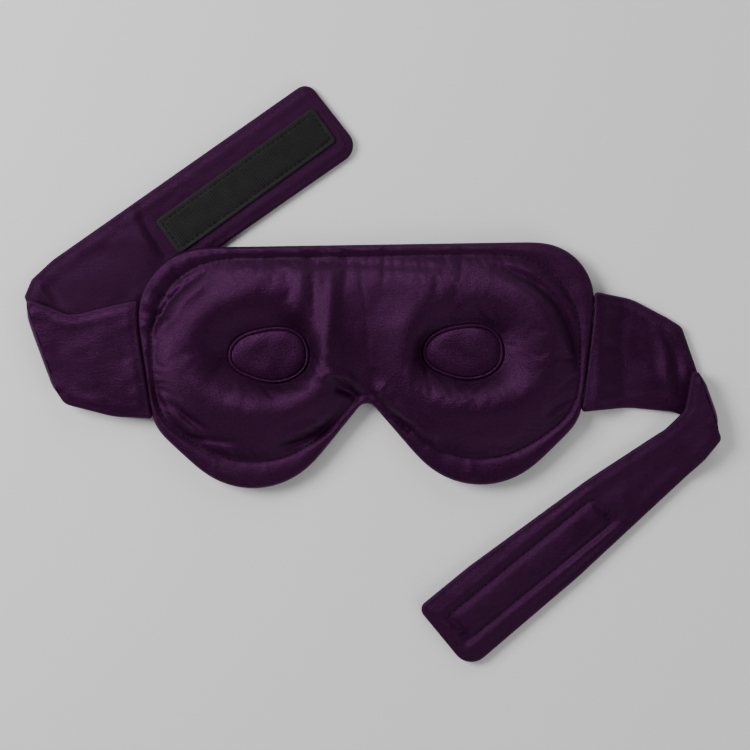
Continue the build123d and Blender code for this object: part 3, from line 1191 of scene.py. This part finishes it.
    def _settle(self, piece: bpy.types.Object) -> None:
        """Let the slack satin of the face settle over its padding as cloth.

        The pressure flattens the creases, so a share of each is put back afterwards.

        Args:
            piece: Face cover; its rim, its seam and the cup floors stay where they are.
        """
        points = np.array([tuple(v.co) for v in piece.data.vertices]) / MM
        flat = points[:, :2]
        seam = self.padding.depth(flat) + self.stitch_margin
        upper = points[:, 2] > LEVELS.seam + 0.2
        free = smooth_step(seam, 0.3, 3.5) * upper
        creased = smooth_step(seam, -1.5, 1.5) * upper
        for cup in self.cups:
            reach, heading = cup.polar(flat)
            clear = smooth_step(reach - cup.floor_reach(heading), 0.3, 3.0)
            free *= clear
            creased *= clear
        moved = ClothSettling().run(piece, free)
        moved[:, 2] += self.crease_share * creased * sum(crease.at(flat) for crease in self.creases)
        piece.data.vertices.foreach_set("co", (moved * MM).ravel())
        piece.data.update()

    def _insert(self, cup: EyeCup, name: str, cover: bpy.types.Material) -> bpy.types.Object:
        """Soft disc that closes the bottom of one eye cup."""
        plan = Plan(cup.outline(self.piping_width - 0.35), 0.8)
        puff = Ripple(20 + cup.side, 12.0)

        def top(where: np.ndarray) -> np.ndarray:
            """Crowned upper side."""
            crown = rolled(plan.depth(where), 6.0)
            lean = -0.02 * (where[:, 0] - cup.side * cup.spacing / 2.0)
            rise = self.insert_height - 1.0 + lean + 0.10 * puff.at(where)
            return LEVELS.cup_floor + 0.5 + rise * crown

        bottom = level_at(LEVELS.cup_floor + 0.1)
        piece = shell(f"{name}_eye_pillow", plan, self.insert_spacing, top, bottom, cover)
        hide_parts(f"{name}_eye_insert")
        return piece

    def _piping(self, cup: EyeCup, name: str, satin: bpy.types.Material) -> bpy.types.Object:
        """Round cord sewn in where the cup meets its floor."""
        radius = self.piping_width / 2.0
        ring = cup.outline(radius - 0.1, 200)
        line = np.column_stack([ring, np.full(len(ring), LEVELS.cup_floor + radius - 0.35)])
        piece = tube(f"{name}_eye_cord", line, (radius * 0.9, radius * 0.8), satin)
        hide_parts(f"{name}_eye_piping")
        return piece


# ---------------------------------------------------------------- straps
@dataclass
class StrapPiece:
    """One padded length of strap with rolled edges, on a path that rises and falls."""

    name: str
    corners: Sequence[Sequence[float]]
    sewn: tuple[Point, Point]
    level: float
    seed: int
    drop: Sequence[Point] = ()
    origin: Point = (0.0, 0.0)
    heading: float = 0.0
    creases: Sequence[Crease] = ()
    flat_for: Optional["ClosureTape"] = None
    quilted_by: Optional["ClosureTape"] = None
    thickness: float = 3.6
    roll: float = 2.3
    spacing: float = 1.6
    # painted shade: darkens the colour over the whole piece
    painted_shade: float = 0.0
    rubbed: float = 0.8

    def middle(self, where: np.ndarray) -> np.ndarray:
        """Height of the strap's middle layer."""
        base = np.full(len(where), self.level + self.thickness / 2.0)
        if self.drop:
            course = math.radians(self.heading)
            along = (where - np.array(self.origin)) @ np.array([math.cos(course), math.sin(course)])
            places, falls = zip(*self.drop)
            base += falls[0] + (falls[1] - falls[0]) * smooth_step(along, places[0], places[1])
        return base

    def half(self, where: np.ndarray) -> np.ndarray:
        """Half thickness: thin at the seams, full in the middle, with a rolled edge."""
        depth = np.clip(self.plan.depth(where, True), 0.0, None)
        full = self.thickness / 2.0 - 0.45
        groove = 0.30 * bell(depth - self.roll, 0.6)
        crown = 0.70 * smooth_step(depth, 1.0, 20.0) + 0.40 * bell(depth - 5.0, 2.4)
        return 0.18 + full * rolled(depth, 2.0) - groove + crown

    def top(self, where: np.ndarray) -> np.ndarray:
        """Upper side with its creases."""
        height = self.middle(where) + self.half(where)
        depth = np.clip(self.plan.depth(where, True), 0.0, None)
        soft = smooth_step(depth, 0.5, 6.0)
        wave = 0.12 * self.broad.at(where) + 0.05 * self.small.at(where)
        line = np.column_stack([self.plan.nearest(where)[1] * 1.6, np.zeros(len(where))])
        wave += 0.10 * self.small.at(line) * np.exp(-np.abs(depth - self.roll) / 2.5)
        for crease in self.creases:
            wave = wave + crease.at(where)
        if self.quilted_by is not None:
            wave = wave + self.quilted_by.channel(where)
        if self.flat_for is not None:
            calm = self.flat_for.nearness(where)
            level = self.middle(where) + self.thickness / 2.0 - 0.05
            height = height + (level - height) * calm
            wave = wave * (1.0 - calm)
        return height + soft * wave

    def bottom(self, where: np.ndarray) -> np.ndarray:
        """Underside, a little flatter than the top."""
        depth = np.clip(self.plan.depth(where, True), 0.0, None)
        wave = 0.06 * self.small.at(where + 40.0) * smooth_step(depth, 0.5, 6.0)
        lowest = self.middle(where) - self.thickness / 2.0
        return np.maximum(self.middle(where) - self.half(where) + wave, lowest)

    def wear_and_shade_at(self, where: np.ndarray) -> np.ndarray:
        """Rubbed edges, and painted shade that darkens the whole piece."""
        depth = np.clip(self.plan.depth(where, True), 0.0, None)
        return self.painted_shade + (self.rubbed - self.painted_shade) * bell(depth, 0.9)

    def build(self, satin: bpy.types.Material, nodes: Sequence[str], fill: float = 0.4) -> bpy.types.Object:
        """Make the strap piece.

        Args:
            satin: Material of the cover.
            nodes: CAD nodes that it stands for.
            fill: How full the padding is; not used.

        Returns:
            The piece, not yet riding on anything.
        """
        self.plan = Plan(rounded(self.corners), 1.0, self.sewn)
        self.broad = Ripple(self.seed, 24.0)
        self.small = Ripple(self.seed + 1, 9.0)
        piece = shell(self.name, self.plan, self.spacing, self.top, self.bottom, satin, self.wear_and_shade_at)
        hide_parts(*nodes)
        return piece


@dataclass
class FoldBend:
    """The rounded turn where a strap is folded back on itself."""

    name: str
    line: tuple[Point, Point]
    above: StrapPiece
    below: StrapPiece
    bulge: float = 0.45
    ramp: float = 9.0
    rows: int = 44
    steps: int = 20

    def build(self, satin: bpy.types.Material) -> bpy.types.Object:
        """Make the turn as a closed, padded half ring that carries on both pieces' surfaces.

        Args:
            satin: Material of the cover.

        Returns:
            The piece, not yet riding on anything.
        """
        start = np.array(self.line[0])
        span = np.array(self.line[1]) - start
        length = float(np.linalg.norm(span))
        span /= length
        outward = np.array([span[1], -span[0]])
        outward *= math.copysign(1.0, float(outward[0] * start[0]))
        along = np.linspace(0.0, length, self.rows)
        line = start + span * along[:, None]
        inside = line - outward * 0.05
        axis = LEVELS.fold_axis
        edge = np.minimum(along, length - along)
        swell = self.bulge * np.sqrt(smooth_step(edge, -0.6, self.ramp))
        outer = (self.above.top(inside) - axis, axis - self.below.bottom(inside))
        inner = (self.above.bottom(inside) - axis, axis - self.below.top(inside))
        points = []
        for upper, lower in (outer, inner):
            for turn in np.linspace(0.0, math.pi, self.steps):
                share = (1.0 - math.cos(turn)) / 2.0
                reach = upper + (lower - upper) * share
                place = line + outward * (reach * swell * math.sin(turn))[:, None]
                points.append(np.column_stack([place, axis + reach * math.cos(turn)]))
        count = self.rows * self.steps
        faces = []
        for step in range(self.steps - 1):
            for row in range(self.rows - 1):
                a = step * self.rows + row
                b = a + self.rows
                faces.append((a, a + 1, b + 1, b))
                faces.append((a + count, b + count, b + 1 + count, a + 1 + count))
        for row in range(self.rows - 1):
            a = row
            faces.append((a, a + count, a + 1 + count, a + 1))
            a += count - self.rows
            faces.append((a, a + 1, a + 1 + count, a + count))
        for step in range(self.steps - 1):
            a = step * self.rows
            b = a + self.rows
            faces.append((a, b, b + count, a + count))
            a += self.rows - 1
            b += self.rows - 1
            faces.append((a, a + count, b + count, b))
        mesh = bpy.data.meshes.new(self.name)
        mesh.from_pydata((np.vstack(points) * MM).tolist(), [], faces)
        set_wear_and_shade(mesh, np.zeros(len(mesh.vertices)))
        normals_outward(mesh)
        piece = new_object(self.name, mesh, satin)
        return piece

    def between(self, piece: bpy.types.Object, wing: str, tail: str, wing_above: bool) -> None:
        """Bake the turn's place into its mesh.

        Args:
            piece: The turn.
            wing: Body at one end; not used.
            tail: Body at the other end; not used.
            wing_above: Whether the wing's end is the higher one.
        """
        x, y = self.line[0]
        high = (x * MM, y * MM, (2.0 * LEVELS.fold_axis) * MM)
        low = (x * MM, y * MM, 0.0)
        if wing_above:
            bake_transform(piece)
        else:
            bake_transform(piece)


def normals_outward(mesh: bpy.types.Mesh) -> None:
    """Turn every face of a closed mesh to the outside."""
    work = bmesh.new()
    work.from_mesh(mesh)
    bmesh.ops.recalc_face_normals(work, faces=work.faces)
    work.to_mesh(mesh)
    work.free()


# ---------------------------------------------------------------- closure tape
@dataclass(frozen=True)
class ClosureTape:
    """A strip of hook or loop tape sewn flat on a strap."""

    name: str
    centre: Point
    angle: float
    base: float
    face: float
    length: float = 91.5
    width: float = 19.5
    thickness: float = 1.0
    inset: float = 2.4
    spacing: float = 1.1

    def local(self, where: np.ndarray) -> np.ndarray:
        """Points in the tape's own directions: along and across."""
        turn = math.radians(self.angle)
        offset = where - np.array(self.centre)
        along = offset @ np.array([math.cos(turn), math.sin(turn)])
        across = offset @ np.array([-math.sin(turn), math.cos(turn)])
        return np.column_stack([along, across])

    def spread(self, points: np.ndarray) -> np.ndarray:
        """Points of the tape's own directions, in the plan."""
        turn = math.radians(self.angle)
        along = points[:, :1] * np.array([[math.cos(turn), math.sin(turn)]])
        across = points[:, 1:2] * np.array([[-math.sin(turn), math.cos(turn)]])
        return along + across + np.array(self.centre)

    def nearness(self, where: np.ndarray) -> np.ndarray:
        """1 over the tape, falling to 0 a little way off."""
        own = np.abs(self.local(where)) - np.array([self.length / 2.0, self.width / 2.0])
        return 1.0 - smooth_step(own.max(axis=1), 0.5, 3.5)

    def channel(self, where: np.ndarray) -> np.ndarray:
        """Groove that its stitching pulls into the cloth, with the middle standing a little proud."""
        own = np.abs(self.local(where)) - np.array([self.length / 2.0, self.width / 2.0]) + self.inset
        out = np.hypot(np.clip(own[:, 0], 0.0, None), np.clip(own[:, 1], 0.0, None))
        signed = out + np.minimum(own.max(axis=1), 0.0)
        beside = 0.75 * bell(signed - 3.4, 1.8) * (own[:, 1] > own[:, 0])
        return 0.45 * smooth_step(-signed, 0.0, 4.0) + beside - 1.35 * bell(signed, 1.35)

    def rectangle(self, inset: float, radius: float) -> np.ndarray:
        """Rounded rectangle in the plan."""
        x = self.length / 2.0 - inset
        y = self.width / 2.0 - inset
        corners = [(x, y, radius), (-x, y, radius), (-x, -y, radius), (x, -y, radius)]
        return self.spread(rounded(corners))

    def build(self, tape: bpy.types.Material) -> bpy.types.Object:
        """Make the strip with a smooth selvage and a raised pile.

        Args:
            tape: Material of the strip.

        Returns:
            The piece, not yet riding on anything.
        """
        plan = Plan(self.rectangle(0.0, 2.2), 0.9)
        ripple = Ripple(31, 7.0)
        low = min(self.base, self.base + self.thickness * self.face)

        def relief(where: np.ndarray) -> np.ndarray:
            """How high the worked face stands over the ground cloth."""
            depth = plan.depth(where)
            edge = rolled(depth, 0.7)
            dent = 0.42 * bell(depth - self.inset, 0.6)
            return 0.35 + 0.55 * edge - dent + 0.05 * ripple.at(where) * edge

        def top(where: np.ndarray) -> np.ndarray:
            """Upper side."""
            return low + (relief(where) if self.face > 0 else np.full(len(where), self.thickness))

        def bottom(where: np.ndarray) -> np.ndarray:
            """Underside."""
            if self.face > 0:
                return np.full(len(where), low)
            return low + self.thickness - np.minimum(relief(where), self.thickness)

        def wear_and_shade_at(where: np.ndarray) -> np.ndarray:
            """Dust in the pile, thicker towards the used end."""
            own = self.local(where)
            used = smooth_step(-own[:, 0], -25.0, 30.0)
            return 0.25 + 0.45 * used + 0.15 * ripple.at(where)

        return shell(self.name, plan, self.spacing, top, bottom, tape, wear_and_shade_at)

    def stitch_ring(self, level: float) -> np.ndarray:
        """Closed line of the stitching that holds the tape."""
        ring = resampled(self.rectangle(self.inset, 1.0), 1.0)
        return np.column_stack([ring, np.full(len(ring), level)])

    def rib_line(self, level: float, start: float, end: float) -> np.ndarray:
        """Line along the middle of the tape between two places along it."""
        along = np.linspace(start, end, 40)
        own = np.column_stack([along, np.zeros(len(along))])
        return np.column_stack([self.spread(own), np.full(len(own), level)])


# ---------------------------------------------------------------- both straps
@dataclass
class StrapPair:
    """Left and right straps, folded back as for storage, with their closure tapes."""

    mask_outline: Plan
    seam_x: float = 104.4155
    seam_y: float = 2.25
    temple_y: float = 54.0
    bend_width: float = 8.0

    def seam_side(self, side: int, y: float) -> Point:
        """Point just outside the mask's side edge."""
        line = self.mask_outline.points
        line = line[line[:, 0] * side > 80.0]
        line = line[line[:, 1].argsort()]
        return (float(np.interp(y, line[:, 1], line[:, 0])) + side * 0.12, y)

    def seam_corners(self, side: int) -> list[tuple[float, ...]]:
        """Corners of a wing along the mask's side edge, from its lower end up."""
        heights = (-26.0, -18.0, -6.0, 6.0, 16.0, 24.0, 30.5)
        radii = (1.5, 0.0, 0.0, 0.0, 0.0, 0.0, 2.0)
        return [(*self.seam_side(side, y), radius) for y, radius in zip(heights, radii)]

    def from_seam(self, side: int, *points: Sequence[float]) -> list[tuple[float, ...]]:
        """Points given from the middle of a side seam."""
        return [(side * self.seam_x + p[0], self.seam_y + p[1], *p[2:]) for p in points]

    def from_temple(self, side: int, *points: Sequence[float]) -> list[tuple[float, ...]]:
        """Points given from the side seam in X and the mask's top edge in Y."""
        return [(side * self.seam_x + p[0], self.temple_y + p[1], *p[2:]) for p in points]

    def build(self, satin: bpy.types.Material, tape: bpy.types.Material, thread: bpy.types.Material,
              black_thread: bpy.types.Material) -> None:
        """Make all strap pieces.

        Args:
            satin: Material of the covers.
            tape: Material of the closure tapes.
            thread: Material of the seams in the satin.
            black_thread: Material of the seams in the loop tape.
        """
        self._left(satin, tape, black_thread)
        self._right(satin, tape, thread)

    @staticmethod
    def shortened(first: Point, last: Point, ends: tuple[float, float]) -> tuple[Point, Point]:
        """Line between two points without a length at either end."""
        start = np.array(first)
        span = np.array(last) - start
        span /= np.linalg.norm(span)
        return tuple(start + span * ends[0]), tuple(np.array(last) - span * ends[1])

    @staticmethod
    def _strip(strip: ClosureTape, node: str, tape: bpy.types.Material) -> bpy.types.Object:
        """Make a closure tape in place of its CAD node."""
        piece = strip.build(tape)
        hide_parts(node)
        return piece

    def _hinge_at_mask(self, piece: bpy.types.Object, side: int) -> None:
        """Bake a wing's place into its mesh."""
        x, y = self.seam_side(side, self.seam_y)
        level = LEVELS.side_axis * MM
        start = (x * MM, y * MM, level)
        end = ((x + side * self.bend_width) * MM, y * MM, level)
        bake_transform(piece)

    def _left(self, satin: bpy.types.Material, tape: bpy.types.Material, thread: bpy.types.Material) -> None:
        """Left wing, its tail folded under it, and the loop tape."""
        side = -1
        fold_top, fold_bottom = self.from_seam(side, (-55.5, 30.0), (-38.0, -20.5))
        upper = self.from_seam(side, (-16.5, 25.0, 25.0), (-33.5, 21.0, 12.0))
        lower = self.from_seam(side, (-14.0, -27.0, 40.0))
        corners = [*self.seam_corners(side), *upper, (*fold_top, 2.0), (*fold_bottom, 7.0), *lower]
        creases = (
            Crease(((-149, 25), (-154, 27), (-157, 30)), 0.7, 1.6),
            Crease(((-118, 24), (-126, 10), (-128, -6)), 0.35, 5.0),
            Crease(((-107, 20), (-115, 16)), 0.5, 2.2),
            Crease(((-106, 4), (-114, 2)), -0.4, 2.0),
            Crease(((-104, -14), (-113, -15)), 0.4, 2.0),
            Crease(((-146, 12), (-140, -4), (-134, -18)), -0.4, 3.0),
        )
        fold = self.shortened(fold_top, fold_bottom, (4.4, 3.4))
        wing = StrapPiece("left_wing_cover", corners, fold, LEVELS.upper, 41, creases=creases)
        covers = ("left_wing_outer_cover", "left_wing_batting", "left_wing_inner_cover")
        wing_piece = wing.build(satin, covers)

        centre = self.from_temple(side, (49.5, 30.75))[0]
        strip = ClosureTape("loop_tape_strip", centre, 34.9, LEVELS.strap, 1.0)
        tail_corners = self.from_temple(
            side, (-52.0, -13.75, 3.0), (-42.0, -4.75, 20.0), (79.0, 77.25, 6.0),
            (103.5, 45.05, 8.0), (41.5, 3.25, 20.0), (1.0, -25.75, 20.0),
        )
        corners = [(*fold_top, 0.0), *tail_corners, (*fold_bottom, 3.5)]
        creases = (
            Crease(((-107, 75), (-101, 63), (-92, 49)), -1.3, 1.7),
            Crease(((-111, 71), (-105, 60), (-97, 47)), 0.8, 2.4),
            Crease(((-140, 52), (-132, 44), (-128, 34)), 0.4, 3.0),
            Crease(((-158, 42), (-152, 35), (-147, 27)), 1.2, 1.8),
            Crease(((-154, 44), (-147, 37), (-141, 30)), -0.9, 2.2),
            Crease(((-130, 58), (-118, 57), (-110, 60)), 0.5, 3.2),
            Crease(((-19, 120), (-12, 108)), -0.35, 1.6),
        )
        # painted shade: the left tail lies low under the wing, so its colour is darkened all over
        tail = StrapPiece("left_tail_cover", corners, fold, 0.0, 43, creases=creases, flat_for=strip,
                          painted_shade=0.75)
        covers = ("left_tail_inner_cover", "left_tail_batting", "left_tail_outer_cover")
        tail_piece = tail.build(satin, covers)

        bend = FoldBend("left_fold_cover", fold, wing, tail)
        bend_piece = bend.build(satin)
        strip_piece = self._strip(strip, "loop_tape", tape)
        face = LEVELS.strap + strip.thickness
        stitches = RepeatedDetail(Detail.STITCH, 2.6, (1.0, 0.28, 0.22), seed=5)
        line = strip.stitch_ring(face - 0.38)
        ring = stitched(stitches, "loop_tape_stitches", "loop_tape_stitching", line, True, thread)
        ribs = RepeatedDetail(Detail.RIB, 1.2, (0.36, 6.4, 0.34), jitter=0.03, seed=9)
        rib_piece = ribs.along("loop_tape_ribs", strip.rib_line(face - 0.16, -42.0, 42.0), False, tape)
        for piece in (tail_piece, strip_piece, ring, rib_piece):
            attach(piece, "left_tail")
        self._hinge_at_mask(wing_piece, side)
        bend.between(bend_piece, "left_wing", "left_tail", True)

    def _right(self, satin: bpy.types.Material, tape: bpy.types.Material, thread: bpy.types.Material) -> None:
        """Right wing, its tail folded over it, and the hook tape under the tail."""
        side = 1
        fold_top, fold_bottom = self.from_seam(side, (44.0, 11.0), (61.5, -42.0))
        share = 0.28
        tail_start = tuple(a + share * (b - a) for a, b in zip(fold_top, fold_bottom))
        upper = self.from_seam(side, (20.5, 24.5, 25.0), (37.0, 15.5, 4.0))
        lower = self.from_seam(side, (41.0, -29.0, 20.0), (18.0, -26.5, 40.0))
        corners = [*self.seam_corners(side), *upper, (*fold_top, 5.0), (*tail_start, 0.0)]
        corners += [(*fold_bottom, 3.0), *lower]
        creases = (
            Crease(((136, 15), (140, 3), (141, -10), (145, -22)), 1.5, 2.0),
            Crease(((140, 10), (145, 3), (147, -8)), -1.5, 2.2),
            Crease(((140, 13), (145, 9), (150, 5)), 0.9, 1.6),
            Crease(((129, 26), (133, 18), (136, 10)), 0.8, 2.0),
            Crease(((132, 16), (135, 4), (136, -8)), -0.6, 2.4),
            Crease(((112, 24), (120, 20)), 0.5, 2.4),
            Crease(((110, 6), (119, 4)), -0.4, 2.4),
            Crease(((109, -12), (118, -14)), 0.4, 2.2),
        )
        fold = self.shortened(tail_start, fold_bottom, (7.0, 5.0))
        wing = StrapPiece("right_wing_cover", corners, fold, LEVELS.upper, 51,
                          drop=((3.0, 0.0), (17.0, -LEVELS.upper)), origin=(side * self.seam_x, self.seam_y),
                          creases=creases)
        covers = ("right_wing_outer_cover", "right_wing_batting", "right_wing_inner_cover")
        wing_piece = wing.build(satin, covers)

        tail_corners = self.from_seam(
            side, (53.5, -51.5, 20.0), (-7.0, -106.0, 40.0), (-58.5, -148.5, 9.0), (-82.0, -119.0, 4.0),
            (-58.0, -100.0, 40.0), (-1.5, -60.0, 60.0), (35.0, -37.0, 8.0), (44.5, -28.0, 8.0),
        )
        corners = [(*tail_start, 2.0), (*fold_bottom, 3.0), *tail_corners]
        middle = tuple((a + b) / 2.0 for a, b in zip(fold_top, fold_bottom))
        centre = self.from_seam(side, (-29.0, -101.5))[0]
        strip = ClosureTape("hook_tape_strip", centre, 38.3, LEVELS.tape, -1.0)
        creases = (
            Crease(((150, -22), (140, -35), (128, -44)), 0.4, 2.4),
            Crease(((160, -38), (146, -46), (132, -58)), -0.4, 4.0),
            Crease(((118, -62), (124, -78)), 0.4, 3.0),
            Crease(((40, -108), (48, -128)), 0.25, 3.0),
        )
        drop = ((20.0, 0.0), (36.0, -(LEVELS.upper - LEVELS.tape)))
        # painted shade: this tail's colour is darkened a little all over
        tail = StrapPiece("right_tail_cover", corners, fold, LEVELS.upper, 53, drop=drop, origin=middle,
                          heading=218.6, creases=creases, quilted_by=strip, painted_shade=0.35)
        covers = ("right_tail_inner_cover", "right_tail_batting", "right_tail_outer_cover")
        tail_piece = tail.build(satin, covers)

        bend = FoldBend("right_fold_cover", fold, tail, wing)
        bend_piece = bend.build(satin)
        strip_piece = self._strip(strip, "hook_tape", tape)
        stitches = RepeatedDetail(Detail.STITCH, 2.8, (1.1, 0.28, 0.22), seed=6)
        line = strip.stitch_ring(0.0)
        line[:, 2] = tail.top(line[:, :2]) + 0.05
        ring = stitched(stitches, "hook_tape_stitches", "hook_tape_stitching", line, True, thread)
        for piece in (tail_piece, strip_piece, ring):
            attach(piece, "right_tail")
        self._hinge_at_mask(wing_piece, side)
        bend.between(bend_piece, "right_wing", "right_tail", False)


# ---------------------------------------------------------------- studio
@dataclass(frozen=True)
class Studio:
    """Pale floor, soft lights and a camera straight above."""

    view_width: float = 0.3525
    camera_height: float = 1.6
    aim: tuple[float, float] = (0.0041, -0.0071)
    roll_deg: float = -0.9
    floor_size: float = 6.0
    floor_gap: float = 0.0003
    sensor: float = 36.0
    far_clip: float = 20.0
    sky: float = 0.22

    def build(self, floor: bpy.types.Material) -> None:
        """Set up everything round the object.

        Args:
            floor: Material of the floor.
        """
        half = self.floor_size / 2.0
        mesh = bpy.data.meshes.new("floor")
        corners = [(-half, -half, 0.0), (half, -half, 0.0), (half, half, 0.0), (-half, half, 0.0)]
        mesh.from_pydata(corners, [], [(0, 1, 2, 3)])
        mesh.materials.append(floor)
        ground = bpy.data.objects.new("floor", mesh)
        ground.location.z = -self.floor_gap
        bpy.context.scene.collection.objects.link(ground)

        data = bpy.data.cameras.new("camera")
        data.sensor_width = self.sensor
        data.lens = data.sensor_width * self.camera_height / self.view_width
        data.clip_end = self.far_clip
        camera = bpy.data.objects.new("camera", data)
        camera.location = (*self.aim, self.camera_height)
        camera.rotation_euler = (0.0, 0.0, math.radians(self.roll_deg))
        bpy.context.scene.collection.objects.link(camera)
        bpy.context.scene.camera = camera

        self._light("key", (-0.85, 0.35, 0.75), 0.60, 16.0)
        self._light("fill", (0.80, -0.75, 0.60), 0.9, 6.0)
        self._light("back", (0.35, 1.10, 0.60), 0.9, 5.0)
        world = bpy.data.worlds.new("studio")
        world.use_nodes = True
        background = world.node_tree.nodes["Background"].inputs
        background["Color"].default_value = (1.0, 1.0, 1.0, 1.0)
        background["Strength"].default_value = self.sky
        bpy.context.scene.world = world

    @staticmethod
    def _light(name: str, place: tuple[float, float, float], size: float, power: float) -> None:
        """Add a soft square light that faces the object."""
        data = bpy.data.lights.new(name, "AREA")
        data.shape = "SQUARE"
        data.size = size
        data.energy = power
        light = bpy.data.objects.new(name, data)
        light.location = place
        light.rotation_euler = (-Vector(place)).to_track_quat("-Z", "Y").to_euler()
        bpy.context.scene.collection.objects.link(light)


def main() -> None:
    """Build the studio and every assembly."""
    logging.basicConfig(level=logging.INFO, format="%(message)s")
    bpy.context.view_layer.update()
    satin = SatinFinish().make()
    insert_satin = SatinFinish(name="insert_satin", roughness=0.44, weave_mm=0.30).make()
    tape = TapeFinish().make()
    # The thread's near-black colour is partly its own dark purple and partly painted shade of the dimples the
    # stitches sink into.
    thread = ThreadFinish("purple_thread_and_shade", (0.0012, 0.0002, 0.0010), (0.0040, 0.0008, 0.0036)).make()
    black_thread = ThreadFinish("black_thread", (0.0015, 0.0014, 0.0015), (0.0060, 0.0056, 0.0062)).make()
    Studio().build(FloorFinish().make())
    mask = PaddedMask()
    mask.build(satin, insert_satin, thread)
    StrapPair(mask.outline).build(satin, tape, thread, black_thread)


if __name__ == "__main__":
    main()
